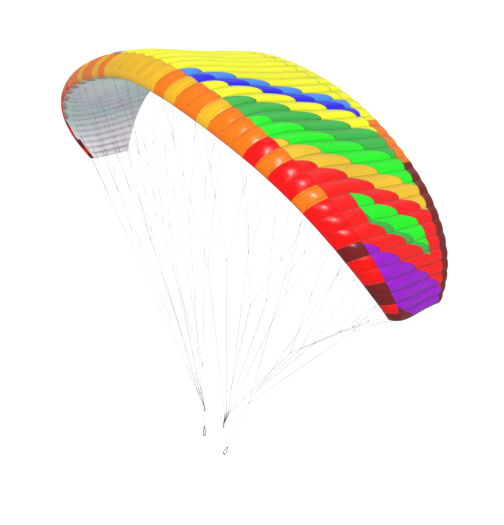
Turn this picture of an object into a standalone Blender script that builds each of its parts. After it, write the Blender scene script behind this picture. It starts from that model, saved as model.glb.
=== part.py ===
"""Ram-air paraglider wing in its flying shape, down to the risers and brake handles.

Frame: +X towards the left tip, +Y from leading edge to trailing edge, +Z up.
Origin: the quarter-chord point of the middle rib.  All lengths are in metres.
"Share" is a fraction of the local chord; a station is a signed share, positive on
the upper surface and negative on the lower one, with 0 at the nose.
"""
import math

import bmesh
import bpy
import numpy as np
from mathutils import Vector

# Planform and arc
FLAT_SPAN = 11.30
CELLS_PER_HALF = 26
CELL_TAPER = 0.548          # how much narrower the last cell is than the middle one
CELL_TAPER_POWER = 1.67
TIP_ANGLE = math.radians(94.5)
ARC_TERMS = (0.869, -1.788, 1.919)   # growth of the arc angle: u, u squared, u cubed
ROOT_PITCH = math.radians(-2.3)
PITCH_TERMS = (math.radians(2.3), math.radians(-3.1))   # u squared, u to the fourth

# share of the half span, chord, set-back of the leading edge
SPAN_TABLE = (
    (0.00, 2.63, 0.00),
    (0.35, 2.585, 0.095),
    (0.60, 2.24, 0.295),
    (0.80, 1.81, 0.61),
    (0.92, 1.36, 0.955),
    (1.00, 0.92, 1.27),
)

# Aerofoil: Bernstein weights of the upper and lower surface heights
UPPER_WEIGHTS = (0.357, 0.297, 0.055, 0.151)
LOWER_WEIGHTS = (-0.144, -0.153, -0.135, -0.053)
TIP_THICKENING = 0.17

# Cloth
CLOTH = 0.002               # thickness of every cloth piece
SEAM = 0.0003               # gap between pieces that are sewn together
BULGE = 0.10                # height of a cell's bulge as a part of its width
BULGE_START = (0.0, 0.05)   # share of the chord where it starts, on top and underneath
BULGE_GROWTH = (0.09, 0.20)  # share over which it grows to its full height
BULGE_FADE = 0.18           # share over which it dies out at the back
BULGE_FADE_POWER = 0.6
FACETS_PER_CELL = 3

# Panel seams and chordwise facets
BAND_BACK = 0.142           # where the leading-edge band ends on the upper surface
BAND_STATIONS = (0.070, 0.024, 0.0)
UPPER_STATIONS = (0.24, 0.38, 0.56, 0.76, 0.93)
ROW_SHARES = {"a": 0.10, "b": 0.34, "c": 0.62}   # where the rows of lines are sewn on
LOWER_STATIONS = tuple(-share for share in ROW_SHARES.values())
FRONT_STATION = -0.060      # facet edge of the front panel underneath
BAND_LENGTHS = {"inner": (0, 4), "middle": (4, 8), "outer": (8, 26)}   # from rib to rib
FRONT_LENGTHS = {"inner": (0, 7), "outer": (7, 26)}
RIB_LAST_LOWER = -0.90      # where a rib's underside ends
RIB_INSET = 0.00042         # rib edge below the sails' inner faces, which crease at a seam

# Air intakes: one mouth over each even rib
MOUTH_LIP = 0.012           # share of the chord underneath at the band's straight edge
MOUTH_DEPTH = 0.038         # share that a mouth reaches back from there, at its rib
MOUTH_REACH = 0.85          # half width of a mouth, in cells
LAST_MOUTH_RIB = 18
PLAIN_LIP = 0.031           # share at the band's edge where there are no mouths

# Suspension lines
BRAKE_SHARE = 0.985
LINE_GROUPS = (((2, 4), (6, 8)), ((10, 12), (14, 16)), ((18, 20), (22, 24, 26)))
BRAKE_GROUPS = (((4, 6), (8, 10)), ((12, 14), (16, 18)), ((20, 22), (24, 26)))
MAIN_LINE = 0.0024
MIDDLE_LINE = 0.0020
TOP_LINE = 0.0016
MAIN_SPLIT = 0.56           # how far up the main lines divide, and the middle lines
MIDDLE_SPLIT = 0.80
BRAKE_MAIN_SPLIT = 0.62
SPLICE = 0.05
FOOT = 0.008                # closed foot of a fan, below its first split
LINE_CLEARANCE = 0.0007     # from the cloth at a rib seam, whose cells bulge past it

# Risers and brake handles; points are on the left side
HANG_POINT = Vector((0.338, 1.396, -6.756))
RISER_LENGTH = 0.40
STRAP_WIDTH = 0.020
STRAP_THICKNESS = 0.003
STACK_HEIGHT = 0.035        # where the straps lie stitched on each other
LOOP_HEIGHT = 0.050
LOOP_WIDTH = 0.026
LINK_LENGTH = 0.036
LINK_WIDTH = 0.022
LINK_WIRE = 0.004
HANDLE_TOP = Vector((0.420, 1.425, -7.168))
HANDLE_BOTTOM = Vector((0.355, 1.380, -7.355))
HANDLE_WIDTH = 0.070        # of a loop that hangs limp
HANDLE_ROUND = 0.8          # depth of the handle's round bar as a part of its half width
HANDLE_SHOULDER = (0.94, 0.55)  # width and height, as parts of the whole, above which it narrows
HANDLE_NECK = 0.30          # width at its top as a part of its width
BRAKE_JOINT = Vector((0.80, 1.66, -6.05))


def material(name, colour, roughness, metallic=0.0):
    """Principled material of one kind of piece."""
    made = bpy.data.materials.new(name)
    made.use_nodes = True
    shader = made.node_tree.nodes["Principled BSDF"]
    shader.inputs["Base Color"].default_value = (*colour, 1.0)
    shader.inputs["Roughness"].default_value = roughness
    shader.inputs["Metallic"].default_value = metallic
    made.diffuse_color = (*colour, 1.0)
    return made


# ---------------------------------------------------------------- wing geometry


def table_curve(column, at):
    """Cubic curve through a column of SPAN_TABLE, level at the root, free at the tip."""
    knots = np.array([row[0] for row in SPAN_TABLE])
    values = np.array([row[column] for row in SPAN_TABLE])
    gaps = np.diff(knots)
    slopes = np.diff(values) / gaps
    count = len(knots)
    system = np.zeros((count, count))
    right = np.zeros(count)
    system[0, :2] = 2 * gaps[0], gaps[0]
    right[0] = 6 * slopes[0]
    for i in range(1, count - 1):
        system[i, i - 1:i + 2] = gaps[i - 1], 2 * (gaps[i - 1] + gaps[i]), gaps[i]
        right[i] = 6 * (slopes[i] - slopes[i - 1])
    system[-1, -1] = 1
    bends = np.linalg.solve(system, right)
    i = int(np.clip(np.searchsorted(knots, at) - 1, 0, count - 2))
    before = (knots[i + 1] - at) / gaps[i]
    after = 1 - before
    bend = (before ** 3 - before) * bends[i] + (after ** 3 - after) * bends[i + 1]
    return before * values[i] + after * values[i + 1] + bend * gaps[i] ** 2 / 6


def bulge_share(station):
    """How much of its full height a cell's bulge has at a station."""
    share = abs(station)
    side = 0 if station >= 0 else 1
    grown = min(1.0, max(0.0, (share - BULGE_START[side]) / BULGE_GROWTH[side]))
    fade = min(1.0, (1 - share) / BULGE_FADE) ** BULGE_FADE_POWER
    return grown * grown * (3 - 2 * grown) * fade


def cell_widths():
    """Flat width of each cell of one half, from the middle out."""
    middle = (np.arange(CELLS_PER_HALF) + 0.5) / CELLS_PER_HALF
    relative = 1 - CELL_TAPER * middle ** CELL_TAPER_POWER
    return relative / relative.sum() * FLAT_SPAN / 2


def arc_angle(u):
    """Slope of the wing's arc at share u of the half span."""
    return TIP_ANGLE * (ARC_TERMS[0] * u + ARC_TERMS[1] * u ** 2 + ARC_TERMS[2] * u ** 3)


def arc_line(steps=400):
    """Half span shares and the arc's X and Z there."""
    u = np.linspace(0, 1, steps + 1)
    middle = arc_angle((u[1:] + u[:-1]) / 2)
    step = FLAT_SPAN / 2 / steps
    x = np.concatenate([[0], np.cumsum(np.cos(middle) * step)])
    z = np.concatenate([[0], np.cumsum(-np.sin(middle) * step)])
    return u, x, z


WIDTHS = cell_widths()
RIB_SHARES = np.concatenate([[0], np.cumsum(WIDTHS)]) / (FLAT_SPAN / 2)
ARC_U, ARC_X, ARC_Z = arc_line()


class Section:
    """The wing's section at a position counted in cells from the middle rib."""

    def __init__(self, position):
        u = float(np.interp(position, range(CELLS_PER_HALF + 1), RIB_SHARES))
        angle = arc_angle(u)
        self.share = u
        self.chord = table_curve(1, u)
        self.setback = table_curve(2, u)
        self.pitch = ROOT_PITCH + PITCH_TERMS[0] * u ** 2 + PITCH_TERMS[1] * u ** 4
        self.middle = (float(np.interp(u, ARC_U, ARC_X)), float(np.interp(u, ARC_U, ARC_Z)))
        self.up = Vector((math.sin(angle), 0, math.cos(angle)))
        self.outward = Vector((math.cos(angle), 0, -math.sin(angle)))
        cell = min(int(position), CELLS_PER_HALF - 1)
        across = position - cell
        self.bulge = BULGE * WIDTHS[cell] * 4 * across * (1 - across)

    def height(self, root, weights):
        """Surface height over the chord line; root is the square root of the share."""
        share = root * root
        rest = 1 - share
        blend = (weights[0] * rest ** 3 + 3 * weights[1] * share * rest ** 2
                 + 3 * weights[2] * share ** 2 * rest + weights[3] * share ** 3)
        return root * rest * blend * (1 + TIP_THICKENING * self.share ** 4)

    def surface(self, station):
        """Share, height and outward unit normal in the section's own plane."""
        side = 1 if station >= 0 else -1
        weights = UPPER_WEIGHTS if side > 0 else LOWER_WEIGHTS
        root = math.sqrt(abs(station))
        step = 1e-4
        low, high = max(root - step, 0), min(root + step, 1)
        rise = (self.height(high, weights) - self.height(low, weights)) / (high - low)
        normal = Vector((-rise * side, 2 * root * side))
        normal.normalize()
        return abs(station), self.height(root, weights), normal

    def point(self, station, lift=0.0, aside=0.0):
        """World point on the surface, lifted off it and shifted along the span."""
        share, height, normal = self.surface(station)
        out = lift + self.bulge * bulge_share(station)
        back = share * self.chord + normal.x * out
        rise = height * self.chord + normal.y * out
        y = self.setback + back * math.cos(self.pitch) + rise * math.sin(self.pitch)
        climb = rise * math.cos(self.pitch) - back * math.sin(self.pitch)
        base = Vector((self.middle[0], y, self.middle[1]))
        return base + self.up * climb + self.outward * aside - ORIGIN

    def frame(self, station):
        """Directions out of the surface, along the span and forward at a station."""
        out = (self.point(station, 0.01) - self.point(station)).normalized()
        forward = self.outward.cross(out)
        if forward.y > 0:
            forward.negate()
        return out, self.outward.copy(), forward


ORIGIN = Vector((0, 0, 0))
ORIGIN = Vector((
    0,
    0.25 * SPAN_TABLE[0][1] * math.cos(ROOT_PITCH),
    -0.25 * SPAN_TABLE[0][1] * math.sin(ROOT_PITCH),
))


def placed(point):
    """A point measured from the middle rib's nose, in the part's own frame."""
    return point - ORIGIN


# ------------------------------------------------------------------ mesh helpers


def add_object(name, vertices, faces, finish, mirrored=False):
    """One closed piece, its faces turned outwards."""
    sign = -1 if mirrored else 1
    shape = bmesh.new()
    corners = [shape.verts.new((sign * v[0], v[1], v[2])) for v in vertices]
    for face in faces:
        shape.faces.new([corners[i] for i in face])
    bmesh.ops.recalc_face_normals(shape, faces=shape.faces)
    if shape.calc_volume(signed=True) < 0:
        bmesh.ops.reverse_faces(shape, faces=shape.faces)
    mesh = bpy.data.meshes.new(name)
    shape.to_mesh(mesh)
    shape.free()
    mesh.materials.append(finish)
    made = bpy.data.objects.new(name, mesh)
    bpy.context.collection.objects.link(made)
    return made


def add_pair(name, vertices, faces, finish):
    """The piece on the left side and its mirror image on the right."""
    left = add_object(name + "_left", vertices, faces, finish)
    right = add_object(name + "_right", vertices, faces, finish, mirrored=True)
    return left, right


def sheet_mesh(grid):
    """Closed sheet from a grid of (outer, inner) point pairs, columns by rows."""
    columns, rows = len(grid), len(grid[0])
    vertices = [point for column in grid for pair in column for point in pair]

    def index(i, j, inner):
        return (i * rows + j) * 2 + inner

    faces = []
    for i in range(columns - 1):
        for j in range(rows - 1):
            for inner in (0, 1):
                faces.append((index(i, j, inner), index(i + 1, j, inner),
                              index(i + 1, j + 1, inner), index(i, j + 1, inner)))
    rim = [(i, 0) for i in range(columns)]
    rim += [(columns - 1, j) for j in range(1, rows)]
    rim += [(i, rows - 1) for i in range(columns - 2, -1, -1)]
    rim += [(0, j) for j in range(rows - 2, 0, -1)]
    for here, there in zip(rim, rim[1:] + rim[:1]):
        faces.append((index(*here, 0), index(*there, 0), index(*there, 1), index(*here, 1)))
    return vertices, faces


def plate_mesh(front, back):
    """Closed plate between two outlines with the same number of points."""
    count = len(front)
    faces = [tuple(range(count)), tuple(range(2 * count - 1, count - 1, -1))]
    for i in range(count):
        after = (i + 1) % count
        faces.append((i, after, count + after, count + i))
    return list(front) + list(back), faces


# ------------------------------------------------------------------------- sails


def lip_share(position):
    """Share of the chord underneath where the leading-edge band ends."""
    past_mouths = min(max(position - LAST_MOUTH_RIB - 1, 0), 1)
    return MOUTH_LIP + (PLAIN_LIP - MOUTH_LIP) * past_mouths


def mouth_depth(position):
    """How far the intake mouth reaches back from the band's edge, as a share."""
    rib = 2 * round(position / 2)
    if rib > LAST_MOUTH_RIB:
        return 0.0
    beside = (position - rib) / MOUTH_REACH
    return MOUTH_DEPTH * math.sqrt(max(0.0, 1 - beside ** 2))


def sail_columns(first, last):
    """Span positions of a sail's facets between two ribs, short of the seams there."""
    count = (last - first) * FACETS_PER_CELL
    positions = [first + i / FACETS_PER_CELL for i in range(count + 1)]
    positions[0] += SEAM / 2 / WIDTHS[first]
    if last < CELLS_PER_HALF:
        positions[-1] -= SEAM / 2 / WIDTHS[last - 1]
    return positions


def sail(name, stations_at, finish, first=0, last=CELLS_PER_HALF):
    """Sail of each half wing, whose rows of facets follow stations_at(position, gap)."""
    grid = []
    for position in sail_columns(first, last):
        section = Section(position)
        gap = SEAM / 2 / section.chord
        column = []
        for station in stations_at(position, gap):
            outer = section.point(station, SEAM / 2 + CLOTH)
            inner = section.point(station, SEAM / 2)
            column.append((outer, inner))
        grid.append(column)
    vertices, faces = sheet_mesh(grid)
    add_pair(name, vertices, faces, finish)


def band_stations(position, gap):
    """Leading-edge band: from its upper seam round the nose to its edge at the mouths."""
    return (BAND_BACK - gap, *BAND_STATIONS, gap - lip_share(position))


def upper_stations(position, gap):
    """Upper sail: from the band's seam to the trailing edge."""
    return (BAND_BACK + gap, *UPPER_STATIONS, 1.0)


def front_stations(position, gap):
    """Front panel of the lower sail: from the mouths' rear lip to the first row of lines."""
    front = lip_share(position) + mouth_depth(position) + gap
    return (-front, FRONT_STATION, LOWER_STATIONS[0] + gap)


def lower_stations(position, gap):
    """Lower sail: from its front panel to the trailing edge."""
    return (LOWER_STATIONS[0] - gap, *LOWER_STATIONS[1:], -1.0)


def build_sails(finishes):
    """The panels before and behind the mouths are sewn from several lengths."""
    for place, (first, last) in BAND_LENGTHS.items():
        sail(f"leading_edge_band_{place}", band_stations, finishes["band"], first, last)
    for place, (first, last) in FRONT_LENGTHS.items():
        sail(f"lower_front_{place}", front_stations, finishes["lower"], first, last)
    sail("upper_sail", upper_stations, finishes["upper"])
    sail("lower_sail", lower_stations, finishes["lower"])


# -------------------------------------------------------------------------- ribs


def rib_stations(rib):
    """Stations round a rib, from the back of its top over the nose to its underside."""
    lip, depth = lip_share(rib), mouth_depth(rib)
    lips = (-lip, -lip - depth) if depth else (-lip,)
    return [*UPPER_STATIONS[::-1], BAND_BACK, *BAND_STATIONS, *lips, FRONT_STATION,
            *LOWER_STATIONS]


def rib_point(rib, side, station):
    """Point of a rib's face under the sails' facets beside its seam."""
    at_seam = Section(rib).point(station, -RIB_INSET)
    beside = abs(rib + side / FACETS_PER_CELL)
    at_facet = Section(beside).point(station, -RIB_INSET)
    if rib == 0 and side < 0:
        at_facet.x = -at_facet.x
    reach = CLOTH / 2 * FACETS_PER_CELL / WIDTHS[rib]
    return at_seam.lerp(at_facet, reach)


def build_ribs(finish):
    """Cloth rib at every second seam, from tip to tip."""
    behind = (LOWER_STATIONS[-1] - RIB_LAST_LOWER) / (LOWER_STATIONS[-1] + 1)
    for rib in range(0, CELLS_PER_HALF, 2):
        sides = []
        for side in (-1, 1):
            outline = [rib_point(rib, side, s) for s in rib_stations(rib)]
            trailing_edge = rib_point(rib, side, -1.0)
            outline.append(outline[-1].lerp(trailing_edge, behind))
            sides.append(outline)
        vertices, faces = plate_mesh(*sides)
        if rib == 0:
            add_object("rib_00", vertices, faces, finish)
        else:
            add_pair(f"rib_{rib:02d}", vertices, faces, finish)


def build_tips(finish):
    """Closing panel of each tip, sewn over the ends of the sails."""
    section = Section(CELLS_PER_HALF)
    stations = [1.0, *UPPER_STATIONS[::-1], BAND_BACK, *BAND_STATIONS, -PLAIN_LIP,
                FRONT_STATION, *LOWER_STATIONS, -1.0]
    sides = []
    for aside in (SEAM, SEAM + CLOTH):
        sides.append([section.point(s, SEAM / 2 + CLOTH, aside) for s in stations])
    vertices, faces = plate_mesh(*sides)
    add_pair("tip_panel", vertices, faces, finish)


# ------------------------------------------------------------------------- lines


class Knot:
    """A point where a line divides into branches, or the end of a line."""

    def __init__(self, point, size, branches=(), frame=None):
        self.point = point
        self.size = size            # (along the spread, across it)
        self.branches = list(branches)
        self.frame = frame          # (spread, forward) at an end that lies on cloth


def ring_points(knot, spread, forward, splits):
    """Front and back rows of a knot's ring, one cell for each branch."""
    width, depth = knot.size
    rows = []
    for side in (1, -1):
        row = []
        for i in range(splits + 1):
            offset = (i - splits / 2) * width
            row.append(knot.point + spread * offset + forward * (side * depth / 2))
        rows.append(row)
    return rows


def spread_frame(direction, spread_hint):
    """Spread and forward directions square to a line's direction."""
    spread = (spread_hint - direction * spread_hint.dot(direction)).normalized()
    return spread, spread.cross(direction).normalized()


class BranchMesh:
    """One closed body for a whole fan of lines, divided cell by cell at each knot."""

    def __init__(self, spread_hint, splice):
        self.vertices = []
        self.faces = []
        self.spread_hint = spread_hint
        self.splice = splice

    def add_ring(self, knot, spread, forward, splits):
        rows = []
        for row in ring_points(knot, spread, forward, splits):
            start = len(self.vertices)
            self.vertices.extend(row)
            rows.append(list(range(start, len(self.vertices))))
        return rows

    def join(self, cell, ring):
        """Sides of a line from a cell of the ring below it to the whole ring above."""
        front, back = cell
        front_end, back_end = ring
        self.faces.append((front[0], front[1], *front_end[::-1]))
        self.faces.append((back[1], back[0], *back_end))
        self.faces.append((back[0], front[0], front_end[0], back_end[0]))
        self.faces.append((front[1], back[1], back_end[-1], front_end[-1]))

    def grow(self, knot, cell):
        """Add a line that starts at a cell and ends at a knot, then its branches."""
        corners = [self.vertices[i] for row in cell for i in row]
        start = sum(corners, Vector()) / len(corners)
        direction = (knot.point - start).normalized()
        spread, forward = spread_frame(direction, self.spread_hint)
        if not knot.branches:
            if knot.frame:
                spread, forward = knot.frame
            ring = self.add_ring(knot, spread, forward, 1)
            self.join(cell, ring)
            self.faces.append((*ring[0], *ring[1][::-1]))
            return
        before = Knot(knot.point - direction * self.splice, knot.size)
        ring = self.add_ring(before, spread, forward, 1)
        self.join(cell, ring)
        self.divide(knot, spread, forward, ring)

    def start(self, root, direction, stem):
        """Closed foot of the fan, as wide as its branches side by side, and the rest."""
        spread, forward = spread_frame(direction, self.spread_hint)
        width, depth = root.size
        foot = Knot(root.point, (width * len(root.branches), depth))
        below = self.add_ring(foot, spread, forward, 1)
        self.faces.append((*below[0], *below[1][::-1]))
        root.point = root.point + direction * stem
        self.divide(root, spread, forward, below)

    def divide(self, knot, spread, forward, below):
        """Ring of a knot that divides, and its branches."""
        ring = self.add_ring(knot, spread, forward, len(knot.branches))
        self.join(below, ring)
        ordered = sorted(knot.branches, key=lambda branch: branch.point.dot(spread))
        for i, branch in enumerate(ordered):
            self.grow(branch, (ring[0][i:i + 2], ring[1][i:i + 2]))


def attachment(rib, share):
    """End of a top line under the lower sail at a rib seam, or under the tip panel."""
    section = Section(rib)
    if rib == CELLS_PER_HALF:
        middle = (section.point(share) + section.point(-share)) / 2
        point = middle + section.outward * (SEAM + CLOTH + SEAM)
        ahead = (section.point(share * 0.9) - section.point(share)).normalized()
        spread = section.outward.cross(ahead)
        if spread.x < 0:
            spread.negate()
        frame = (spread, ahead - section.outward * ahead.dot(section.outward))
    else:
        lift = SEAM / 2 + CLOTH + LINE_CLEARANCE
        ahead = section.point(LOWER_STATIONS[-1], lift)
        point = section.point(-share, lift)
        frame = section.frame(-share)[1:]
        if share > -LOWER_STATIONS[-1]:
            behind = section.point(-1.0, lift)
            point = ahead.lerp(behind, (share + LOWER_STATIONS[-1]) / (1 + LOWER_STATIONS[-1]))
            frame = (section.outward.copy(), (ahead - behind).normalized())
    return Knot(point, (TOP_LINE, TOP_LINE), frame=frame)


def mean_point(knots):
    return sum((knot.point for knot in knots), Vector()) / len(knots)


def line_fan(root, groups, share, main_split, middle_split, base_width):
    """Knots of a row: main lines, middle lines and top lines above one root point."""
    mains = []
    for group in groups:
        tops_of_group = []
        middles = []
        for ribs in group:
            tops = [attachment(rib, share) for rib in ribs]
            tops_of_group += tops
            point = root.lerp(mean_point(tops), middle_split)
            middles.append(Knot(point, (TOP_LINE, TOP_LINE), tops))
        point = root.lerp(mean_point(tops_of_group), main_split)
        mains.append(Knot(point, (MIDDLE_LINE, MIDDLE_LINE), middles))
    return Knot(root, (base_width, base_width), mains)


def build_row(row, root, finish):
    """A row's fan, from the top of its link to the canopy."""
    fan = line_fan(root, LINE_GROUPS, ROW_SHARES[row], MAIN_SPLIT, MIDDLE_SPLIT, MAIN_LINE)
    mesh = BranchMesh(Vector((1, 0, 0)), SPLICE)
    mesh.start(fan, (mean_point(fan.branches) - root).normalized(), FOOT)
    add_pair(f"lines_{row}", mesh.vertices, mesh.faces, finish)


def build_brakes(finish):
    """Brake fan: one line from the handle to a joint, and from there to the trailing edge."""
    joint = placed(BRAKE_JOINT)
    fan = line_fan(joint, BRAKE_GROUPS, BRAKE_SHARE, BRAKE_MAIN_SPLIT, MIDDLE_SPLIT, MAIN_LINE)
    mesh = BranchMesh(Vector((1, 0, 0)), SPLICE)
    handle = placed(HANDLE_TOP)
    direction = (joint - handle).normalized()
    foot = Knot(handle + direction * 2 * SEAM, (MAIN_LINE, MAIN_LINE), [fan])
    mesh.start(foot, direction, FOOT)
    add_pair("lines_brake", mesh.vertices, mesh.faces, finish)


# -------------------------------------------------------------- risers and handles


def riser_directions():
    """Direction of each riser strap: along the pull of its row's lines.

    A line pulls with the area of the cells beside its attachment.
    """
    hang = placed(HANG_POINT)
    ribs = [rib for group in LINE_GROUPS for pair in group for rib in pair]
    directions = {}
    for row, share in ROW_SHARES.items():
        pull = Vector()
        for rib in ribs:
            area = Section(rib).chord * WIDTHS[min(rib, CELLS_PER_HALF - 1)]
            pull += (attachment(rib, share).point - hang) * area
        directions[row] = pull.normalized()
    return directions


def ring_mesh(outer, inner):
    """Closed ring: outer and inner outlines, each a (near, far) pair of point lists."""
    loops = [outer[0], outer[1], inner[1], inner[0]]
    count = len(outer[0])
    vertices = [point for loop in loops for point in loop]
    faces = []
    for k in range(4):
        for i in range(count):
            here, after = k * count + i, k * count + (i + 1) % count
            above, above_after = ((k + 1) % 4) * count + i, ((k + 1) % 4) * count + (i + 1) % count
            faces.append((here, after, above_after, above))
    return vertices, faces


def strap_loop(centre, right, up, across, outline, width, thickness):
    """Loop of webbing: outline gives (right, up) points, width lies along across."""
    sides = []
    for shrink in (0.0, thickness):
        pair = []
        for side in (-width / 2, width / 2):
            ring = []
            for x, y, nx, ny in outline:
                flat = right * (x - nx * shrink) + up * (y - ny * shrink)
                ring.append(centre + flat + across * side)
            pair.append(ring)
        sides.append(pair)
    return ring_mesh(*sides)


def rectangle(width, height):
    """Corners of a rectangle with the diagonal direction of each."""
    x, y = width / 2, height / 2
    return [(-x, -y, -1, -1), (x, -y, 1, -1), (x, y, 1, 1), (-x, y, -1, 1)]


def handle_outline(width, height, steps=4):
    """Outline of a brake handle: a round lower bar, upright sides that meet at the top."""
    points = []
    radius = width / 2
    for i in range(2 * steps + 1):
        turn = math.pi + math.pi * i / (2 * steps)
        points.append((radius * math.cos(turn), HANDLE_ROUND * radius * math.sin(turn),
                       math.cos(turn), math.sin(turn)))
    low = HANDLE_ROUND * radius
    shoulder, level = HANDLE_SHOULDER[0] * radius, HANDLE_SHOULDER[1] * height - low
    neck = HANDLE_NECK * radius
    points.append((shoulder, level, 1.0, 0.1))
    points.append((neck, height - low, 0.75, 0.9))
    points.append((-neck, height - low, -0.75, 0.9))
    points.append((-shoulder, level, -1.0, 0.1))
    return points, low


def build_riser(finish):
    """Three straps sewn together over a loop of webbing that takes the karabiner."""
    hang = placed(HANG_POINT)
    directions = riser_directions()
    ends = []
    for row, direction in directions.items():
        size = (STRAP_THICKNESS, STRAP_WIDTH)
        frame = spread_frame(direction, Vector((0, 1, 0)))
        ends.append(Knot(hang + direction * RISER_LENGTH, size, frame=frame))
    stack = Knot(hang + Vector((0, 0, LOOP_HEIGHT - STRAP_THICKNESS / 2)),
                 (STRAP_THICKNESS, STRAP_WIDTH), ends)
    mesh = BranchMesh(Vector((0, 1, 0)), SPLICE)
    mesh.start(stack, Vector((0, 0, 1)), STACK_HEIGHT)
    centre = hang + Vector((0, 0, LOOP_HEIGHT / 2))
    loop = strap_loop(centre, Vector((0, 1, 0)), Vector((0, 0, 1)), Vector((1, 0, 0)),
                      rectangle(LOOP_WIDTH, LOOP_HEIGHT), STRAP_WIDTH, STRAP_THICKNESS)
    straps = add_pair("riser", mesh.vertices, mesh.faces, finish)
    loops = add_pair("riser_loop", *loop, finish)
    for strap, ring in zip(straps, loops):
        ring.hide_render = True
        ring.display_type = "WIRE"
        joined = strap.modifiers.new("loop", "BOOLEAN")
        joined.operation = "UNION"
        joined.object = ring


def link_roots():
    """Top point of the link on each riser strap, where the row's lines start."""
    roots = {}
    for row, direction in riser_directions().items():
        end = placed(HANG_POINT) + direction * (RISER_LENGTH + 2 * SEAM + LINK_LENGTH)
        roots[row] = (end, direction)
    return roots


def oval(width, height, radius, steps=2):
    """Centre line of an oval link, with its outward directions."""
    points = []
    for quarter, (sx, sy) in enumerate(((1, 1), (-1, 1), (-1, -1), (1, -1))):
        centre = (sx * (width / 2 - radius), sy * (height / 2 - radius))
        for i in range(steps + 1):
            turn = math.pi / 2 * (quarter + i / steps)
            nx, ny = math.cos(turn), math.sin(turn)
            points.append((centre[0] + radius * nx, centre[1] + radius * ny, nx, ny))
    return points


def build_links(finish):
    """Steel link between each riser strap and its row of lines."""
    for row, (top, direction) in link_roots().items():
        spread, forward = spread_frame(direction, Vector((1, 0, 0)))
        centre = top - direction * LINK_LENGTH / 2
        outline = oval(LINK_WIDTH, LINK_LENGTH, LINK_WIDTH * 0.45)
        loop = strap_loop(centre, spread, direction, forward, outline, LINK_WIRE, LINK_WIRE)
        add_pair(f"link_{row}", *loop, finish)


def build_handles(finish):
    """Loop of webbing that hangs on each brake line."""
    top, bottom = placed(HANDLE_TOP), placed(HANDLE_BOTTOM)
    up = (top - bottom).normalized()
    right, across = spread_frame(up, Vector((1, 0, 0)))
    outline, low = handle_outline(HANDLE_WIDTH, (top - bottom).length)
    centre = bottom + up * low
    loop = strap_loop(centre, right, up, across, outline, STRAP_WIDTH, STRAP_THICKNESS)
    add_pair("brake_handle", *loop, finish)


def main():
    for old in list(bpy.data.objects):
        bpy.data.objects.remove(old)
    finishes = {
        "band": material("band_cloth", (0.85, 0.42, 0.05), 0.45),
        "upper": material("upper_cloth", (0.95, 0.95, 0.05), 0.5),
        "lower": material("lower_cloth", (0.66, 0.68, 0.72), 0.55),
        "tip": material("tip_cloth", (0.30, 0.02, 0.03), 0.5),
        "rib": material("rib_cloth", (0.80, 0.80, 0.80), 0.6),
        "line": material("line_cord", (0.12, 0.13, 0.15), 0.7),
        "webbing": material("riser_webbing", (0.10, 0.13, 0.17), 0.8),
        "steel": material("link_steel", (0.55, 0.56, 0.58), 0.25, 1.0),
    }
    build_sails(finishes)
    build_ribs(finishes["rib"])
    build_tips(finishes["tip"])
    for row, (top, direction) in link_roots().items():
        build_row(row, top + direction * SEAM, finishes["line"])
    build_brakes(finishes["line"])
    build_riser(finishes["webbing"])
    build_links(finishes["steel"])
    build_handles(finishes["webbing"])


main()
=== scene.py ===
"""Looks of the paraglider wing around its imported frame.

Frame: +X towards the left tip, +Y from leading edge to trailing edge, +Z up, metres.
"Share" is a fraction of the local chord.  A station is a signed share: positive on the
upper surface, negative on the lower one, 0 at the nose.  A span position counts cells
from the middle rib.
"""
import math
from functools import partial, partialmethod, reduce

import bmesh
import bpy
import numpy as np
from mathutils import Matrix, Vector


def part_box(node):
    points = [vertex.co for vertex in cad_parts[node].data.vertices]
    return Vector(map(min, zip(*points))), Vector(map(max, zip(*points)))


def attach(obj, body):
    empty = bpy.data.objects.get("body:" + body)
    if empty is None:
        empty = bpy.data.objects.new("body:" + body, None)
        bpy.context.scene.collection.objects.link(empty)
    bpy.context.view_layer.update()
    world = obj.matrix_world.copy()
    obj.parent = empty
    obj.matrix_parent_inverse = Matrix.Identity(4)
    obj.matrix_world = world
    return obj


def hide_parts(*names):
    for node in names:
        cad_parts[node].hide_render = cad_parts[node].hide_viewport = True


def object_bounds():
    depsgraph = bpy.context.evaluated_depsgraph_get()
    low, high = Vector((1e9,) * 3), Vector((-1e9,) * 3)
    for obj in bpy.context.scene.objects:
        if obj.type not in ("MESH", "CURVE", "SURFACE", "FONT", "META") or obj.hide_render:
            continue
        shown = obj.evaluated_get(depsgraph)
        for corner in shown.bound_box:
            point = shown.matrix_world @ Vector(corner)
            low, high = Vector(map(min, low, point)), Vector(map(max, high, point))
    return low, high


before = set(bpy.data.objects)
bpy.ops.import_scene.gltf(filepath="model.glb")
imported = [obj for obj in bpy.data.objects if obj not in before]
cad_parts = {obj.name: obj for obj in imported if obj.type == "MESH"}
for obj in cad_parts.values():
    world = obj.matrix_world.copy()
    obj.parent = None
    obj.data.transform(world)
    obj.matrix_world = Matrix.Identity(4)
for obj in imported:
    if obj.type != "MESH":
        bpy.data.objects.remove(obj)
CAD_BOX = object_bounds()
SIDES = (("left", 1), ("right", -1))
SIDEWAYS, AFT, UPWARD = np.eye(3)

# ---------- dimensions that the frame was built from

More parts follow.
